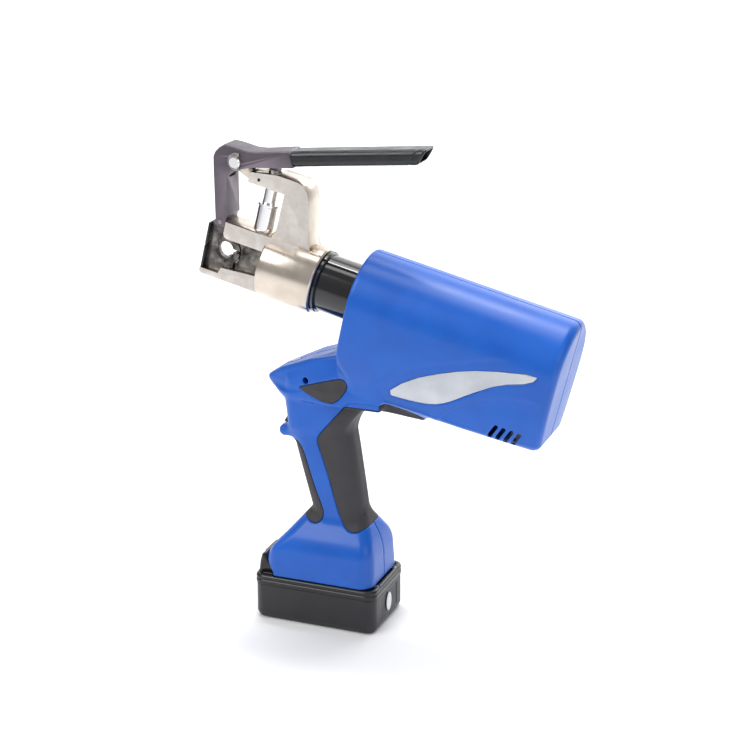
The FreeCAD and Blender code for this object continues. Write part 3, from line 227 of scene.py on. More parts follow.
LEVER_PAINT = Finish("purple_grey_lever_coat", (90, 81, 91), (83, 75, 85), Texture.MOULDED, metallic=0.15,
                     gloss_low=0.36, gloss_high=0.46, patch=90.0, grain=1900.0, relief=0.05, edge_scuff_and_sheen=0.35)
SLEEVE_DIP = Finish("dipped_black_sleeve", (22, 24, 29), (28, 30, 35), Texture.SMOOTH,
                    gloss_low=0.26, gloss_high=0.40, patch=60.0, grain=900.0, relief=0.03, coat=0.12)
NECK_BLACK = Finish("gloss_black_cylinder", (8, 8, 12), (12, 12, 17), Texture.TURNED,
                    gloss_low=0.10, gloss_high=0.14, patch=60.0, grain=1500.0, relief=0.01, coat=0.5)
FASTENER = Finish("zinc_fastener", (176, 174, 170), (146, 143, 140), Texture.MOTTLED,
                  metallic=1.0, gloss_low=0.24, gloss_high=0.4, patch=300.0, grain=1500.0, relief=0.02)
DARK_SCREW = Finish("blackened_screw", (30, 30, 33), (44, 44, 48), Texture.MOTTLED,
                    metallic=0.9, gloss_low=0.3, gloss_high=0.45, patch=400.0, grain=1500.0, relief=0.02)
SPRING_WIRE = Finish("spring_wire", (120, 118, 116), (92, 90, 90), Texture.SMOOTH,
                     metallic=1.0, gloss_low=0.22, gloss_high=0.36, patch=250.0, relief=0.01)
# The edge lightening on the battery's black shell and rim is a painted highlight.
PACK_BLACK = Finish("black_battery_shell", (28, 27, 31), (35, 34, 38), Texture.MOULDED,
                    gloss_low=0.34, gloss_high=0.46, patch=40.0, grain=1800.0, relief=0.08, edge_scuff_and_sheen=0.2)
PACK_GLOSS = Finish("gloss_black_battery_rim", (20, 20, 23), (28, 28, 31), Texture.MOULDED,
                    gloss_low=0.16, gloss_high=0.26, patch=60.0, grain=1600.0, relief=0.02, edge_scuff_and_sheen=0.3)
TRIGGER_BLACK = Finish("black_trigger", (34, 34, 37), (42, 42, 45), Texture.MOULDED,
                       gloss_low=0.34, gloss_high=0.46, patch=150.0, grain=2400.0, relief=0.05)
CAST_METAL = Finish("cast_pump_metal", (150, 150, 152), (126, 126, 130), Texture.BLASTED,
                    metallic=0.9, gloss_low=0.38, gloss_high=0.55, patch=120.0, grain=900.0, relief=0.12)
HARD_STEEL = Finish("hard_bright_steel", (176, 176, 178), (150, 150, 154), Texture.TURNED,
                    metallic=1.0, gloss_low=0.14, gloss_high=0.26, patch=120.0, grain=1500.0, relief=0.01)
MOTOR_CAN = Finish("motor_can_steel", (112, 114, 120), (94, 96, 102), Texture.MOTTLED,
                   metallic=0.9, gloss_low=0.3, gloss_high=0.45, patch=100.0, grain=1100.0, relief=0.03)
COPPER = Finish("wound_rotor", (168, 96, 58), (120, 70, 48), Texture.GROUND,
                metallic=0.8, gloss_low=0.25, gloss_high=0.45, patch=160.0, grain=900.0, relief=0.1)
BLADDER = Finish("oil_bladder_rubber", (36, 34, 34), (48, 45, 44), Texture.MOULDED,
                 gloss_low=0.5, gloss_high=0.66, patch=90.0, grain=1200.0, relief=0.1)
BOARD = Finish("green_control_board", (18, 86, 58), (12, 66, 46), Texture.MOTTLED,
               gloss_low=0.28, gloss_high=0.4, patch=350.0, grain=800.0, relief=0.08)
CELL_WRAP = Finish("cell_wrap", (64, 128, 96), (52, 112, 84), Texture.SMOOTH,
                   gloss_low=0.2, gloss_high=0.32, patch=60.0, relief=0.01, coat=0.2)
STICKER = Finish("white_oval_sticker", (238, 238, 236), (226, 226, 228), Texture.MOULDED,
                 gloss_low=0.4, gloss_high=0.55, patch=80.0, grain=1300.0, relief=0.02)
FLOOR = Finish("pale_floor", (250, 250, 250), (247, 247, 248), Texture.MOULDED,
               gloss_low=0.55, gloss_high=0.7, patch=2.0, grain=120.0, relief=0.05)


# ---------------------------------------------------------------- bench: from the frame to finished pieces

class Bench:
    """Hands out the frame's nodes and settles what each new piece rides on and stands for."""

    def __init__(self) -> None:
        """Read which body and which material slot each node has."""
        record = frame["record"]
        self.body_of = {node: body for body, nodes in record["behaviour"]["bodies"].items() for node in nodes}
        self.slot_of = {part["node"]: part["material_slot"] for part in record["subparts"]}
        self.dressed: set[str] = set()

    def dress(self, finish: Finish, *nodes: str) -> None:
        """Give nodes that keep their own shape a finish.

        Args:
            finish: the surface finish.
            nodes: the nodes' names.
        """
        for node in nodes:
            slots = frame["nodes"][node].data.materials
            slots.clear()
            slots.append(finish.material())
            self.dressed.add(node)
            log.info("%-22s keeps its shape, %s", node, finish.name)

    def fit(self, piece: bpy.types.Object, finish: Finish | None, *nodes: str) -> bpy.types.Object:
        """Let a new piece stand for nodes: it takes their body, and they aren't shown.

        Args:
            piece: the new piece.
            finish: its finish, or None if its faces already have theirs.
            nodes: the nodes that it stands for; the first one gives the body.

        Returns:
            The piece.
        """
        if finish:
            piece.data.materials.clear()
            piece.data.materials.append(finish.material())
        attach(piece, self.body_of[nodes[0]])
        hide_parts(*nodes)
        self.dressed.update(nodes)
        log.info("%-22s stands for %s", piece.name, ", ".join(nodes))
        return piece

    def add(self, piece: bpy.types.Object, finish: Finish, beside: str) -> bpy.types.Object:
        """Let a small new piece ride with a node that stays.

        Args:
            piece: the new piece.
            finish: its finish.
            beside: the node whose body it takes.

        Returns:
            The piece.
        """
        piece.data.materials.clear()
        piece.data.materials.append(finish.material())
        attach(piece, self.body_of[beside])
        log.info("%-22s goes with %s", piece.name, beside)
        return piece

    def edged(self, name: str, node: str, width: float) -> bpy.types.Object:
        """Copy a node's shape as a clean mesh with broken edges.

        Args:
            name: the new piece's name.
            node: the node to copy.
            width: width of the broken edge, in millimetres.

        Returns:
            The new piece.
        """
        source = frame["nodes"][node].data
        work = bmesh.new()
        work.from_mesh(source)
        bmesh.ops.remove_doubles(work, verts=work.verts, dist=2e-6)
        bmesh.ops.dissolve_limit(work, angle_limit=math.radians(0.8), verts=work.verts, edges=work.edges)
        bmesh.ops.recalc_face_normals(work, faces=work.faces)
        shortest, sharpest = 0.6 * width * MM, math.radians(32)
        sharp = [edge for edge in work.edges if edge.is_manifold
                 and edge.calc_face_angle(0.0) > sharpest and edge.calc_length() > shortest]
        bmesh.ops.bevel(work, geom=sharp, offset=width * MM, offset_type="OFFSET", segments=2, profile=0.5,
                        affect="EDGES", clamp_overlap=True)
        mesh = bpy.data.meshes.new(name)
        work.to_mesh(mesh)
        work.free()
        mesh.shade_smooth()
        mesh.set_sharp_from_angle(angle=math.radians(38))
        return link(name, mesh)


def link(name: str, mesh: bpy.types.Mesh) -> bpy.types.Object:
    """Put a mesh into the scene as an object.

    Args:
        name: the object's name.
        mesh: its mesh.

    Returns:
        The object.
    """
    piece = bpy.data.objects.new(name, mesh)
    bpy.context.scene.collection.objects.link(piece)
    return piece


# ---------------------------------------------------------------- forms worked out as distances

@dataclass
class Lattice:
    """A box of evenly spaced points, in millimetres, on which a form's distances are worked out."""

    low: Place
    high: Place
    pitch: float

    def __post_init__(self) -> None:
        """Lay out the points along each axis, ready to be combined."""
        lines = [np.arange(low, high + self.pitch, self.pitch, dtype=np.float32)
                 for low, high in zip(self.low, self.high)]
        self.x, self.y, self.z = np.meshgrid(*lines, indexing="ij", sparse=True)
        tilt, rise = math.radians(TOOL_TILT), self.z - AXIS_HEIGHT
        self.along = self.x * math.cos(tilt) - rise * math.sin(tilt)
        self.over = self.x * math.sin(tilt) + rise * math.cos(tilt)

    def skin(self, form: np.ndarray) -> tuple[np.ndarray, np.ndarray]:
        """Draw a form's surface as four-cornered faces.

        Args:
            form: distances on this lattice, negative inside.

        Returns:
            The corner points in millimetres, and four corner numbers for each face.
        """
        form = np.broadcast_to(form, (self.x.shape[0], self.y.shape[1], self.z.shape[2])).astype(np.float32)
        form = np.pad(form[1:-1, 1:-1, 1:-1], 1, constant_values=self.pitch)
        cells = tuple(count - 1 for count in form.shape)
        keys, spots, faces = [], [], []
        for axis in range(3):
            near = np.take(form, range(0, cells[axis]), axis)
            far = np.take(form, range(1, cells[axis] + 1), axis)
            at = np.argwhere((near < 0) != (far < 0))
            before, after = near[tuple(at.T)], far[tuple(at.T)]
            spot = at.astype(np.float64)
            spot[:, axis] += before / (before - after)
            ring = []
            for across, up in ((0, 0), (-1, 0), (-1, -1), (0, -1)):
                cell = at.copy()
                cell[:, (axis + 1) % 3] += across
                cell[:, (axis + 2) % 3] += up
                ring.append(np.ravel_multi_index(tuple(cell.T), cells))
            ring = np.stack(ring, 1)
            faces.append(np.where((before < 0)[:, None], ring, ring[:, ::-1]))
            keys.append(ring.ravel())
            spots.append(np.repeat(spot, 4, axis=0))
        key, place = np.unique(np.concatenate(keys), return_inverse=True)
        spots = np.concatenate(spots)
        count = np.bincount(place)
        points = np.stack([np.bincount(place, spots[:, axis]) / count for axis in range(3)], 1)
        faces = np.searchsorted(key, np.concatenate(faces))
        points = self.settle(form, points)
        return points * self.pitch + np.array(self.low), faces

    @staticmethod
    def read(form: np.ndarray, at: np.ndarray) -> np.ndarray:
        """Distances between the lattice's points.

        Args:
            form: distances on the lattice.
            at: places, counted in lattice steps.

        Returns:
            The distance at each place.
        """
        cell = np.clip(np.floor(at).astype(int), 0, np.array(form.shape) - 2)
        part = at - cell
        total = np.zeros(len(at))
        for corner in itertools.product((0, 1), repeat=3):
            weight = np.prod(np.where(corner, part, 1.0 - part), axis=1)
            total += weight * form[tuple((cell + corner).T)]
        return total

    def settle(self, form: np.ndarray, points: np.ndarray) -> np.ndarray:
        """Slide points onto the surface, so that it doesn't ripple.

        Args:
            form: distances on the lattice.
            points: places, counted in lattice steps.

        Returns:
            The settled places.
        """
        start = points
        for _ in range(2):
            slope = np.stack([self.read(form, points + step) - self.read(form, points - step)
                              for step in np.eye(3) * 0.5], 1)
            steep = np.maximum((slope ** 2).sum(1), 0.05)
            points = points - slope * (self.read(form, points) / steep)[:, None]
        return start + np.clip(points - start, -0.5, 0.5)

    def cast(self, name: str, form: np.ndarray, mirror: bool = False) -> bpy.types.Object:
        """Make a piece from a form.

        Args:
            name: the piece's name.
            form: distances on this lattice, negative inside.
            mirror: whether the piece is turned over to the other side of the middle plane.

        Returns:
            The piece, smooth shaded.
        """
        points, faces = self.skin(form)
        if mirror:
            points = points * (1.0, -1.0, 1.0)
            faces = faces[:, ::-1]
        mesh = bpy.data.meshes.new(name)
        mesh.vertices.add(len(points))
        mesh.vertices.foreach_set("co", (points * MM).astype(np.float32).ravel())
        mesh.loops.add(faces.size)
        mesh.loops.foreach_set("vertex_index", faces.astype(np.int32).ravel())
        mesh.polygons.add(len(faces))
        mesh.polygons.foreach_set("loop_start", np.arange(0, faces.size, 4, dtype=np.int32))
        mesh.update(calc_edges=True)
        mesh.validate()
        mesh.shade_smooth()
        return link(name, mesh)


def join(first: np.ndarray, second: np.ndarray, radius: float) -> np.ndarray:
    """Two forms as one, with a hollow fillet of that radius where they meet."""
    both = np.hypot(np.maximum(radius - first, 0.0), np.maximum(radius - second, 0.0))
    return np.maximum(radius, np.minimum(first, second)) - both


def meet(first: np.ndarray, second: np.ndarray, radius: float) -> np.ndarray:
    """What two forms share, with its edge rounded to that radius."""
    both = np.hypot(np.maximum(first + radius, 0.0), np.maximum(second + radius, 0.0))
    return np.minimum(-radius, np.maximum(first, second)) + both


def cut(form: np.ndarray, tool: np.ndarray, radius: float) -> np.ndarray:
    """A form less another one, with the cut's edge rounded to that radius."""
    return meet(form, -tool, radius)


def box(lattice: Lattice, low: Place, high: Place, radius: float = 0.0) -> np.ndarray:
    """A block between two corners, with rounded edges."""
    axes = (lattice.x, lattice.y, lattice.z)
    gaps = [abs(axis - (a + b) / 2.0) - (b - a) / 2.0 + radius for axis, a, b in zip(axes, low, high)]
    outside = np.sqrt(sum(np.maximum(gap, 0.0) ** 2 for gap in gaps))
    return outside + np.minimum(np.maximum(np.maximum(gaps[0], gaps[1]), gaps[2]), 0.0) - radius


def softened(points: list[Point], passes: int = 2) -> list[Point]:
    """An outline with its corners cut again and again until they are round.

    Args:
        points: the outline's corners.
        passes: how many times the corners are cut.

    Returns:
        The rounder outline.
    """
    for _ in range(passes):
        fresh = []
        for (x0, z0), (x1, z1) in zip(points, points[1:] + points[:1]):
            fresh += [(0.75 * x0 + 0.25 * x1, 0.75 * z0 + 0.25 * z1),
                      (0.25 * x0 + 0.75 * x1, 0.25 * z0 + 0.75 * z1)]
        points = fresh
    return points


def outline(across: np.ndarray, up: np.ndarray, points: list[Point]) -> np.ndarray:
    """Distance to a closed outline in a plane, negative inside.

    Args:
        across: the lattice's places along the first axis of the plane.
        up: the lattice's places along the second axis.
        points: the outline's corners.

    Returns:
        The signed distances.
    """
    shape = np.broadcast_shapes(across.shape, up.shape)
    nearest, inside = np.full(shape, 1e6, np.float32), np.zeros(shape, bool)
    for (x0, z0), (x1, z1) in zip(points, points[1:] + points[:1]):
        run, rise = x1 - x0, z1 - z0
        share = np.clip(((across - x0) * run + (up - z0) * rise) / (run * run + rise * rise), 0.0, 1.0)
        nearest = np.minimum(nearest, np.hypot(across - x0 - share * run, up - z0 - share * rise))
        if rise:
            crossed = ((z0 <= up) & (z1 > up)) | ((z1 <= up) & (z0 > up))
            inside ^= crossed & (across < x0 + (up - z0) / rise * run)
    return np.where(inside, -nearest, nearest)


def ease(values: np.ndarray, start: float, end: float) -> np.ndarray:
    """A smooth step from 0 at start to 1 at end."""
    share = np.clip((values - start) / (end - start), 0.0, 1.0)
    return share * share * (3.0 - 2.0 * share)


# ---------------------------------------------------------------- body shells, rubber and badges

@dataclass
class BodyShell:
    """The clamshell body: barrel, beak, web, grip, lip and shoe, with rubber skins and inlaid plates."""

    wall: float = 3.0
    skin: float = 1.8
    rubber: float = 1.7
    plate: float = 1.5
    plate_sunk: float = 0.1
    barrel_radius: float = 44.0
    barrel_front: float = 35.6
    barrel_rear: float = 232.0
    rear_round: float = 8.0
    flank_bow: float = 0.001246
    flank_pinch: float = 1.5656e-7
    keel_drop: float = 88.5
    web_half: float = 19.0
    grip_half: float = 18.5
    grip_depth_half: float = 28.0
    grip_centre: float = 16.4
    grip_slope: float = 0.2089
    grip_corner: float = 15.5
    lip_low: Place = (-43.6, -15.2, 173.4)
    lip_high: Place = (-18.0, 15.2, 184.6)
    shoe_base: float = 43.3
    neck_bore: float = 26.5
    neck_depth: float = 66.0
    screw_head: float = 3.1
    screw_depth: float = 12.4
    pilot: float = 1.6
    pilot_depth: float = 12.0
    boss: float = 5.0
    vent_count: int = 4
    vent_start: float = 188.5
    vent_step: float = 7.2
    vent_drop: float = 64.0
    vent_lean: float = 22.0
    vent_half_length: float = 6.4
    vent_half_width: float = 1.7
    rubber_gap: float = 0.25
    badge_gap: float = 0.2
    flank_start: float = 14.0
    seam_gap: float = 0.06
    pitch: float = 1.0

    front_zone = [(-62.0, 175.5), (-46.0, 175.0), (-33.0, 173.8), (-24.0, 172.3), (-19.0, 168.0),
                  (-15.0, 158.0), (-6.0, 129.5), (2.4, 109.0), (2.4, 100.5), (-2.5, 95.5), (-9.0, 95.5),
                  (-14.0, 99.0), (-40.0, 100.0)]
    rear_zone = [(101.0, 205.0), (99.0, 212.0), (83.0, 219.8), (59.5, 222.0), (35.0, 221.0), (29.0, 217.5),
                 (16.8, 203.0), (0.5, 183.5), (-3.2, 178.0), (-2.6, 172.0), (3.2, 157.0), (10.6, 132.0),
                 (17.5, 107.0), (23.5, 95.5), (33.0, 91.5), (44.0, 95.5), (60.0, 106.0)]
    inlay_zone = [(-19.0, 225.8), (-14.0, 229.0), (22.0, 241.5), (30.0, 241.5), (33.0, 234.5), (22.0, 219.8),
                  (11.0, 217.3)]
    badge_zone = [(68.0, 235.0), (92.0, 252.5), (128.5, 264.5), (163.5, 270.5), (212.0, 272.0),
                  (204.0, 263.5), (176.5, 259.5), (149.0, 247.0), (128.0, 235.5), (114.0, 231.0),
                  (93.0, 231.5)]
    screw_spots = [(-11.0, 234.0), (-9.0, 148.0), (-30.0, 68.0), (44.0, 66.0), (57.14, 343.82),
                   (201.28, 271.68), (168.41, 207.58)]

    def barrel(self, at: Lattice) -> np.ndarray:
        """Half-round top, flanks that draw in, a keel that rises to the rear and a recessed flank panel."""
        # Bow and pinch together draw the flank in by 3 mm at 44 mm under the axis, and by 24 mm at 95 mm.
        side, drop = abs(at.y), np.maximum(-at.over, 0.0)
        half = self.barrel_radius - self.flank_bow * drop ** 2 - self.flank_pinch * drop ** 4
        lean = -2.0 * self.flank_bow * drop - 4.0 * self.flank_pinch * drop ** 3
        flank = np.where(at.over >= 0, np.hypot(side, np.maximum(at.over, 0.0)) - self.barrel_radius,
                         (side - half) / np.sqrt(1.0 + lean ** 2))
        flank = flank + self.flank_relief(at) * ease(side, 20.0, 32.0)
        below = -at.over - self.keel_drop
        keel = meet(below, (below + (at.along - 133.0) * 0.12) / 1.007, 30.0)
        keel = meet(keel, (-at.over - at.along * 1.3 - 14.5) / 1.64, 8.0)
        form = meet(flank, at.along - self.barrel_rear, self.rear_round)
        form = meet(form, self.barrel_front - at.along, 3.0)
        return meet(form, keel, 13.0)

    def flank_relief(self, at: Lattice) -> np.ndarray:
        """How far the flank is set in: a panel below an arched line, and a crease under the badge."""
        arch = np.interp(at.x, [40.0, 58.0, 81.0, 105.0, 129.0, 155.0, 180.0, 230.0],
                         [228.0, 247.0, 262.0, 270.0, 275.5, 281.0, 285.0, 290.0])
        crease = np.interp(at.x, [100.0, 116.0, 128.0, 144.0, 160.0, 178.0, 200.0, 222.0, 240.0],
                           [196.0, 218.0, 229.5, 239.5, 245.5, 249.0, 249.5, 246.0, 242.0])
        panel = 1.1 * ease(arch - at.z, 0.0, 5.0) * ease(at.x, 44.0, 66.0)
        panel = panel * (1.0 - ease(at.x, 150.0, 195.0))
        below = crease - at.z
        groove = 1.7 * ease(below, 0.0, 4.5) * (1.0 - ease(below, 7.0, 26.0))
        return panel * (1.0 - ease(below, -14.0, 0.0)) + groove * ease(at.x, 108.0, 130.0) * (
            1.0 - ease(at.x, 196.0, 222.0))

    def beak(self, at: Lattice) -> np.ndarray:
        """The pointed top in front of the barrel, over the trigger, with a flat upper facet."""
        side = outline(at.x, at.z, [(-53.2, 227.0), (-40.5, 235.6), (-8.6, 250.0), (20.0, 258.5),
                                    (60.0, 252.0), (60.0, 218.0), (-20.0, 218.2), (-41.0, 220.2),
                                    (-49.0, 223.6)]) - 3.6
        share = np.clip((24.0 - at.x) / 82.0, 0.0, 1.2)
        half = 33.0 - 28.0 * share ** 1.7 - 0.16 * np.maximum(at.z - 228.0, 0.0)
        return meet(side, (abs(at.y) - half) * 0.93, 3.2)

    def web(self, at: Lattice) -> np.ndarray:
        """The narrow middle that joins beak, grip and barrel."""
        side = outline(at.x, at.z, [(-27.0, 187.0), (22.0, 194.5), (29.5, 203.0), (40.5, 216.0),
                                    (60.0, 215.2), (97.0, 211.5), (107.0, 222.0), (70.0, 250.0),
                                    (12.0, 255.0), (-9.0, 243.5), (-27.0, 231.0)]) - 4.0
        return meet(side, abs(at.y) - self.web_half, 5.0)

    def grip(self, at: Lattice) -> np.ndarray:
        """The pistol grip: a rounded bar that leans forward and swells towards the trigger."""
        share = (at.z - 84.0) / 131.0
        centre = self.grip_centre - (at.z - 92.0) * self.grip_slope
        depth = self.grip_depth_half * (0.835 + 0.40 * share - 0.13 * share ** 2)
        corner = self.grip_corner
        across = abs(at.x - centre) * 0.983 - depth + corner
        side = abs(at.y) - self.grip_half + corner
        form = np.hypot(np.maximum(across, 0.0), np.maximum(side, 0.0))
        form = form + np.minimum(np.maximum(across, side), 0.0)
        return np.maximum(np.maximum(form - corner, 80.0 - at.z), at.z - 216.0)

    def shoe(self, at: Lattice) -> np.ndarray:
        """The foot that takes the battery: upright sides under slopes that run up to the grip."""
        low = self.shoe_base
        sides = abs(at.y) - 37.6 + (at.z - low) * 0.10
        ends = abs(at.x - 2.3) - 53.3 + (at.z - low) * 0.03
        form = meet(sides, ends, 13.0)
        front = -0.766 * (at.x + 51.5) + 0.643 * (at.z - 61.5)
        rear = 0.894 * (at.x - 57.0) + 0.447 * (at.z - 73.0)
        slope = 0.808 * (abs(at.y) - 34.2) + 0.588 * (at.z - 77.5)
        top = meet(meet(front, rear, 9.0), slope, 9.0)
        form = meet(form, top, 4.5)
        return np.maximum(meet(form, low - at.z, 1.0), at.z - 112.0)

    def whole(self, at: Lattice) -> np.ndarray:
        """The body's outer form on a lattice, with fillets where its parts run together."""
        lip = box(at, self.lip_low, self.lip_high, 5.4)
        handle = join(self.grip(at), lip, 5.0)
        handle = join(handle, self.shoe(at), 3.5)
        upper = join(self.barrel(at), self.web(at), 8.0)
        upper = join(upper, self.beak(at), 5.0)
        return join(upper, handle, 9.0)

    def zones(self, at: Lattice, gap: float) -> np.ndarray:
        """Side outlines of both rubber skins, opened out by gap."""
        front = outline(at.x, at.z, softened(self.front_zone))
        rear = outline(at.x, at.z, softened(self.rear_zone))
        return np.minimum(front, rear) - gap

    def openings(self, at: Lattice) -> np.ndarray:
        """Everything cut right through the shell: neck, trigger well, rail channel and battery nose."""
        neck = np.maximum(np.hypot(at.y, at.over) - self.neck_bore, at.along - self.neck_depth)
        well = box(at, (-70.0, -8.0, 185.3), (-20.0, 8.0, 212.9), 0.8)
        rail = box(at, (-70.0, -17.6, 20.0), (36.0, 17.6, 58.6), 0.6)
        nose = outline(at.x, at.z, [(-90.0, 30.0), (-90.0, 61.5), (-53.5, 61.5), (-41.0, 46.0),
                                    (-41.0, 30.0)])
        return np.minimum(np.minimum(neck, well), np.minimum(rail, nose))

    def vents(self, at: Lattice) -> np.ndarray:
        """A row of slanted slots low on the flank at the rear."""
        slots = np.float32(1e3)
        lean = math.radians(self.vent_lean)
        for index in range(self.vent_count):
            across, up = at.along - (self.vent_start + self.vent_step * index), at.over + self.vent_drop
            side = across * math.cos(lean) - up * math.sin(lean)
            length = across * math.sin(lean) + up * math.cos(lean)
            past_end = np.maximum(abs(length) - self.vent_half_length, 0.0)
            slots = np.minimum(slots, np.hypot(side, past_end) - self.vent_half_width)
        return np.maximum(slots, 15.0 - abs(at.y))

    def half_shell(self, at: Lattice, body: np.ndarray, left: bool) -> np.ndarray:
        """One half of the shell, hollow, with every recess cut.

        Args:
            at: the lattice, which covers one side.
            body: the outer form on it.
            left: whether this half is the tool's left one.

        Returns:
            The half's distances.
        """
        deep = -(body + self.skin)
        half = cut(body, np.maximum(self.zones(at, self.rubber_gap), deep), 0.8)
        outer = self.flank_start - at.y
        inlay = outline(at.x, at.z, softened(self.inlay_zone)) - self.rubber_gap
        half = cut(half, np.maximum(np.maximum(inlay, outer), deep), 0.8)
        badge = outline(at.x, at.z, softened(self.badge_zone, 1)) - self.badge_gap
        half = cut(half, np.maximum(np.maximum(badge, outer), -(body + self.plate)), 0.5)
        wells = np.float32(1e3)
        bosses = np.float32(1e3)
        for index, (across, up) in enumerate(self.screw_spots):
            reach = np.hypot(at.x - across, at.z - up)
            bosses = np.minimum(bosses, reach - self.boss)
            if left == (index == 0):
                wells = np.minimum(wells, np.maximum(reach - self.screw_head, self.screw_depth - at.y))
            wells = np.minimum(wells, np.maximum(reach - self.pilot, at.y - self.pilot_depth))
        half = cut(half, wells, 0.7)
        hollow = np.maximum(body + self.wall, -bosses)
        half = np.maximum(half, -hollow)
        half = cut(half, self.openings(at), 1.0)
        half = cut(half, self.vents(at), 0.6)
        lens = box(at, (-34.6, -2.3, 232.0), (-25.6, 2.3, 262.0), 1.2)
        half = cut(half, np.maximum(lens, -(body + 5.0)), 0.5)
        return meet(half, self.seam_gap - at.y, 0.55)

    def build(self, bench: Bench) -> None:
        """Make the two halves, the rubber skins, inlays and badges."""
        at = Lattice((-64.0, -2.0, 40.0), (238.0, 47.0, 368.0), self.pitch)
        body = self.whole(at)
        for left, side in ((True, "left"), (False, "right")):
            piece = at.cast("shell_" + side, self.half_shell(at, body, left), mirror=left)
            bench.fit(piece, BLUE_SHELL, "housing_" + side)
        self.build_rubber(bench)
        self.build_plates(bench)
        bench.dress(INDICATOR, "indicator_lens")
        bench.dress(DARK_SCREW, "case_screws")

    def build_rubber(self, bench: Bench) -> None:
        """Make the front strip and the rear panel of the grip."""
        for name, node, zone, low, high in (
                ("rubber_front_strip", "front_grip_strip", self.front_zone, (-66, -24, 78), (10, 24, 184)),
                ("rubber_rear_panel", "rear_grip_panel", self.rear_zone, (-22, -30, 76), (114, 30, 226))):
            at = Lattice(low, high, 0.8)
            body = self.whole(at)
            skin = np.maximum(meet(body, outline(at.x, at.z, softened(zone)), 0.8), -(body + self.rubber))
            bench.fit(at.cast(name, skin), GRIP_RUBBER, node)

    def build_plates(self, bench: Bench) -> None:
        """Make the rubber inlays and the blank badges on both flanks."""
        for kind, node, zone, passes, finish, low, high in (
                ("flank_inlay", "side_inlay", self.inlay_zone, 2, GRIP_RUBBER,
                 (-25, 12, 211), (39, 44, 248)),
                ("blank_badge", "side_badge", self.badge_zone, 1, SILVER_BADGE,
                 (60, 15, 222), (219, 46, 279))):
            at = Lattice(low, high, 0.6)
            body = self.whole(at) + self.plate_sunk
            edge = outline(at.x, at.z, softened(zone, passes))
            skin = np.maximum(meet(body, edge, 0.4), -(body + self.plate))
            for left, side in ((True, "left"), (False, "right")):
                bench.fit(at.cast(kind + "_" + side, skin, mirror=left), finish, node + "_" + side)


# ---------------------------------------------------------------- head, jaws, arch and column

@dataclass
class CuttingHead:
    """The plated head with its jaws, the lever arch, the spring column and the neck."""

    edge: float = 0.7
    arch_edge: float = 1.2
    flat_level: float = 13.0

    def blast_flats(self, piece: bpy.types.Object) -> None:
        """Give the faces that lie flat at flat_level from the middle plane the blasted finish.

        Args:
            piece: the piece, which gets two materials.
        """
        mesh = piece.data
        mesh.materials.clear()
        mesh.materials.append(NICKEL.material())
        mesh.materials.append(NICKEL_BLASTED.material())
        for face in mesh.polygons:
            flat = abs(face.normal.y) > 0.999
            if flat and abs(abs(face.center.y) - self.flat_level * MM) < 2e-4:
                face.material_index = 1

    def build(self, bench: Bench) -> None:
        """Make and dress everything on the head's body."""
        head = bench.edged("plated_head", "head_body", self.edge)
        self.blast_flats(head)
        bench.fit(head, None, "head_body")
        arch = bench.edged("plated_arch", "lever_arch", self.arch_edge)
        self.blast_flats(arch)
        bench.fit(arch, None, "lever_arch")
        for name, node, finish, width in (
                ("upper_jaw", "clamp_jaw", JAW_STEEL, 0.35), ("lower_jaw", "fixed_jaw", JAW_STEEL, 0.35),
                ("guide_block", "blade_guide", JAW_STEEL, 0.35),
                ("cutting_blade", "moving_blade", JAW_STEEL, 0.3),
                ("upper_plate", "upper_face_plate", PLATE_BLACK, 0.3),
                ("lower_plate", "lower_face_plate", PLATE_BLACK, 0.3)):
            bench.fit(bench.edged(name, node, width), finish, node)
        bench.dress(CHROME, "column_sleeve", "column_collar", "spring_plunger")
        bench.dress(NECK_BLACK, "hydraulic_cylinder", "neck_ring")


# ---------------------------------------------------------------- lever

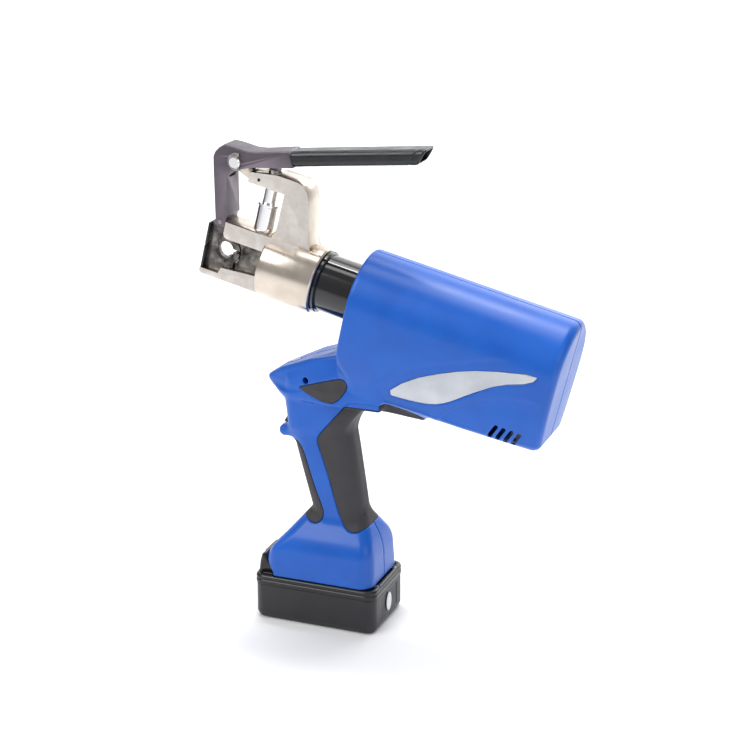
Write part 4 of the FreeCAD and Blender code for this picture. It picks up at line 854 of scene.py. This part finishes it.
@dataclass
class HandLever:
    """The forged lever, its dipped sleeve with the flared end, and its pins."""

    length: float = 118.0
    slope: float = math.tan(math.radians(5.1))
    half: float = 13.2
    start: float = 52.0
    top: float = 12.9
    height: float = 14.8

    def build(self, bench: Bench) -> None:
        """Make and dress everything on the lever's body."""
        bench.fit(bench.edged("forged_lever", "hand_lever", 0.9), LEVER_PAINT, "hand_lever")
        bench.fit(self.sleeve(), SLEEVE_DIP, "lever_grip")
        bench.dress(CHROME, "pivot_pin")
        bench.dress(FASTENER, "jaw_pin", "pin_clips")

    def pivot(self) -> Vector:
        """Middle of the hinge pin, in millimetres."""
        low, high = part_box("pivot_pin")
        return (low + high) / 2.0 / MM

    def sleeve(self) -> bpy.types.Object:
        """The dipped sleeve: a soft bar cut off at a slant, with a rolled rim round a hollow end."""
        hinge = self.pivot()
        low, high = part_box("lever_grip")
        at = Lattice(tuple(v / MM - 2.0 for v in low), tuple(v / MM + 2.0 for v in high), 0.6)
        across, up = at.x - hinge.x, at.z - hinge.z
        rise = (across - self.start) * self.slope
        middle = self.top - self.height / 2.0
        lift = up - middle - rise * ease(across, self.start - 8.0, self.start + 12.0)
        flare = 0.9 * ease(across, self.start + self.length - 6.0, self.start + self.length + 6.0)
        corner = 5.2
        side = abs(at.y) - self.half + 1.0 + corner - flare
        tall = abs(lift) - self.height / 2.0 + 0.3 + corner
        bar = np.hypot(np.maximum(side, 0.0), np.maximum(tall, 0.0))
        bar = bar + np.minimum(np.maximum(side, tall), 0.0) - corner
        end = self.start + self.length
        slant = (across - end - 4.2) * 0.86 - (lift - 1.0) * 0.51
        rear = np.maximum(meet(bar, slant, 2.6), self.start - 1.2 - across + lift * 0.27)
        hollow = np.maximum(bar + 2.5, end - 7.0 - across + lift * 0.6)
        bore = box(at, (hinge.x + self.start - 6.0, -8.5, 0.0), (hinge.x + end - 20.0, 8.5, 900.0))
        bore = np.maximum(bore, abs(lift + 0.3) - 3.8)
        form = cut(rear, hollow, 1.0)
        form = cut(form, bore, 0.2)
        seam = np.maximum(abs(across - end + 5.5 - lift * 0.55) - 0.5, -(bar + 0.5))
        return at.cast("dipped_sleeve", cut(form, seam, 0.4))


# ---------------------------------------------------------------- battery and controls

@dataclass
class BatteryPack:
    """The slide-on battery: shell, glossy rimmed lid with its nose block, latch, screws and sticker."""

    half_x: float = 60.5
    half_y: float = 39.5
    seam: float = 34.0
    rim: float = 43.0
    rim_groove: float = 38.6
    rail_levels: tuple[float, ...] = (49.0, 54.0)
    nose_half: float = 30.0
    finger_half: float = 13.4

    def build(self, bench: Bench) -> None:
        """Make and dress everything on the battery's bodies."""
        bench.fit(self.lid(), PACK_GLOSS, "battery_lid")
        bench.fit(self.shell(), PACK_BLACK, "battery_case")
        bench.fit(bench.edged("latch_button", "battery_latch", 0.4), PACK_BLACK, "battery_latch")
        bench.fit(bench.edged("oval_sticker", "battery_label", 0.12), STICKER, "battery_label")
        bench.dress(FASTENER, "battery_screws")
        bench.dress(CELL_WRAP, "battery_cells")
        bench.dress(SPRING_WIRE, "latch_spring")

    def plan(self, at: Lattice, inset: float, radius: float) -> np.ndarray:
        """Rounded rectangle of the pack seen from above, smaller all round by inset."""
        across = abs(at.x) - self.half_x + inset + radius
        side = abs(at.y) - self.half_y + inset + radius
        corner = np.hypot(np.maximum(across, 0.0), np.maximum(side, 0.0))
        return corner + np.minimum(np.maximum(across, side), 0.0) - radius

    def lid(self) -> bpy.types.Object:
        """The lid: a rolled rim with a groove under it, a sunk top, the rail tower and the nose block."""
        at = Lattice((-63.5, -42.0, 31.5), (63.5, 42.0, 64.0), 0.7)
        plan = self.plan(at, 0.05, 10.0)
        body = meet(plan, at.z - self.rim, 2.6)
        body = np.maximum(body, self.seam + 0.05 - at.z)
        sunk = meet(self.plan(at, 4.6, 8.0), self.rim - 1.5 - at.z, 0.4)
        body = cut(body, sunk, 0.8)
        groove = np.maximum(abs(at.z - self.rim_groove) - 0.55, -(plan + 0.9))
        body = cut(body, groove, 0.5)
        room = np.maximum(self.plan(at, 5.2, 4.0), at.z - self.rim + 4.4)
        body = cut(body, room, 0.3)
        tower = box(at, (-23.0, -17.0, 38.7), (35.0, 17.0, 58.0), 1.2)
        for level in self.rail_levels:
            rails = np.maximum(abs(at.z - level) - 1.0, 15.4 - abs(at.y))
            tower = cut(tower, rails, 0.3)
        nose = outline(at.x, at.z, [(-57.6, 42.0), (-56.2, 53.0), (-54.4, 58.9), (-53.9, 59.3), (-44.4, 46.2),
                                    (-44.4, 42.0)]) - 1.5
        nose = meet(nose, abs(at.y) - self.nose_half, 3.0)
        nose = np.maximum(nose, 39.5 - at.z)
        body = join(body, nose, 1.2)
        pocket = outline(at.x, at.z, [(-74.0, 44.6), (-54.3, 44.6), (-52.5, 57.0), (-74.0, 57.0)])
        body = cut(body, meet(pocket, abs(at.y) - self.finger_half, 0.8), 0.5)
        body = np.minimum(body, tower)
        for side in (-1.0, 1.0):
            head = np.hypot(at.x - self.half_x + 3.8, at.y - side * (self.half_y - 17.0))
            body = cut(body, np.maximum(head - 2.5, 41.2 - at.z), 0.3)
        return at.cast("rimmed_lid", body)

    def shell(self) -> bpy.types.Object:
        """The pack's lower shell: soft bottom edges, a shadow line under the lid and a sunk rear panel."""
        at = Lattice((-62.5, -41.5, -1.5), (62.5, 41.5, 36.5), 0.9)
        low = np.maximum(5.0 - at.z, 0.0)
        plan = self.plan(at, 0.6, 10.0)
        body = meet(plan + low * 0.45, -at.z, 2.2)
        body = meet(body, at.z - self.seam + 0.1, 0.5)
        body = cut(body, box(at, (self.half_x - 1.3, -21.0, 8.5), (72.0, 21.0, 30.0)), 0.6)
        inner = np.maximum(self.plan(at, 3.4, 9.0), 2.6 - at.z)
        return at.cast("pack_shell", cut(body, inner, 0.4))


@dataclass
class Controls:
    """Trigger, switch and electronics in the grip and shoe."""

    def build(self, bench: Bench) -> None:
        """Make and dress the trigger and what lies behind it."""
        bench.fit(bench.edged("finger_trigger", "trigger", 0.5), TRIGGER_BLACK, "trigger")
        bench.dress(TRIGGER_BLACK, "trigger_switch", "terminal_block")
        bench.dress(BOARD, "control_board")
        bench.dress(SPRING_WIRE, "trigger_spring")


@dataclass
class Innards:
    """Hydraulics, pump, gears and motor inside the barrel; they keep their own shapes."""

    def build(self, bench: Bench) -> None:
        """Dress the hidden nodes in the barrel."""
        bench.dress(HARD_STEEL, "piston", "pump_plunger", "eccentric_shaft", "sun_pinion", "planetary_stage",
                    "motor_bearings")
        bench.dress(SPRING_WIRE, "return_spring", "plunger_spring")
        bench.dress(CAST_METAL, "pump_block", "gearbox_case")
        bench.dress(MOTOR_CAN, "motor_can")
        bench.dress(COPPER, "rotor")
        bench.dress(TRIGGER_BLACK, "cooling_fan")
        bench.dress(BLADDER, "oil_bladder", "piston_seal")


# ---------------------------------------------------------------- studio

@dataclass
class Studio:
    """Floor, lights and camera."""

    camera_at: Place = (0.62343, -1.47608, 0.77312)
    azimuth: float = 21.36
    elevation: float = 18.63
    lens: float = 89.674

    def build(self) -> None:
        """Lay the floor, hang the lights and set up the camera."""
        self.floor()
        self.lamp("key", (-1.1, -1.5, 1.9), 25.0, 1.3)
        self.lamp("fill", (1.9, -1.3, 1.2), 8.0, 1.6)
        self.lamp("top", (0.1, 0.3, 2.2), 22.0, 1.5)
        self.lamp("rim", (0.5, 2.0, 1.3), 12.0, 1.4)
        self.lamp("backdrop", (-0.6, 1.2, 4.6), 260.0, 2.4, Vector((-0.6, 6.0, 2.0)))
        world = bpy.data.worlds.new("studio_air")
        world.use_nodes = True
        world.node_tree.nodes["Background"].inputs["Color"].default_value = (1.0, 1.0, 1.0, 1.0)
        world.node_tree.nodes["Background"].inputs["Strength"].default_value = 0.42
        bpy.context.scene.world = world
        bpy.context.scene.view_settings.view_transform = "Standard"
        self.camera()

    def floor(self) -> None:
        """A pale sheet that lies flat and curves up behind the tool."""
        rows = []
        for step in range(33):
            turn = math.pi / 2.0 * max(0.0, (step - 16) / 16.0)
            reach = -4.0 + step * 0.4 if step <= 16 else 2.4 + 3.0 * math.sin(turn)
            rows.append((reach, 3.0 - 3.0 * math.cos(turn) if step > 16 else 0.0))
        rows.append((5.4, 9.0))
        points = [(x, y, z - 0.0004) for y, z in rows for x in (-9.0, 9.0)]
        faces = [(2 * i, 2 * i + 1, 2 * i + 3, 2 * i + 2) for i in range(len(rows) - 1)]
        mesh = bpy.data.meshes.new("studio_sheet")
        mesh.from_pydata(points, [], faces)
        mesh.shade_smooth()
        mesh.materials.append(FLOOR.material())
        sheet = link("studio_sheet", mesh)

    def lamp(self, name: str, at: Place, power: float, size: float,
             aim: Vector = Vector((0.05, 0.0, 0.22))) -> None:
        """Hang a soft square lamp.

        Args:
            name: the lamp's name.
            at: where it hangs, in metres.
            power: in watts.
            size: edge length, in metres.
            aim: the point it faces; the tool unless told otherwise.
        """
        light = bpy.data.lights.new(name, "AREA")
        light.energy, light.size = power, size
        lamp = bpy.data.objects.new(name, light)
        bpy.context.scene.collection.objects.link(lamp)
        lamp.location = at
        lamp.rotation_euler = (aim - Vector(at)).to_track_quat("-Z", "Y").to_euler()

    def camera(self) -> None:
        """Set up the camera that takes the main view."""
        data = bpy.data.cameras.new("main_camera")
        data.lens, data.sensor_width = self.lens, 36.0
        data.clip_start, data.clip_end = 0.05, 40.0
        camera = bpy.data.objects.new("main_camera", data)
        bpy.context.scene.collection.objects.link(camera)
        turn, rise = math.radians(self.azimuth), math.radians(self.elevation)
        back = Vector((math.sin(turn) * math.cos(rise), -math.cos(turn) * math.cos(rise), math.sin(rise)))
        camera.rotation_euler = (-back).to_track_quat("-Z", "Y").to_euler()
        camera.location = self.camera_at
        bpy.context.scene.camera = camera


def main() -> None:
    """Build the tool sub-assembly by sub-assembly, then the studio round it."""
    logging.basicConfig(level=logging.INFO, format="%(message)s")
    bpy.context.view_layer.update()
    bench = Bench()
    for assembly in (BodyShell(), CuttingHead(), HandLever(), BatteryPack(), Controls(), Innards()):
        assembly.build(bench)
    bare = sorted(set(frame["nodes"]) - bench.dressed)
    log.info("nodes left without a finish: %s", bare or "none")
    Studio().build()


if __name__ == "__main__":
    main()
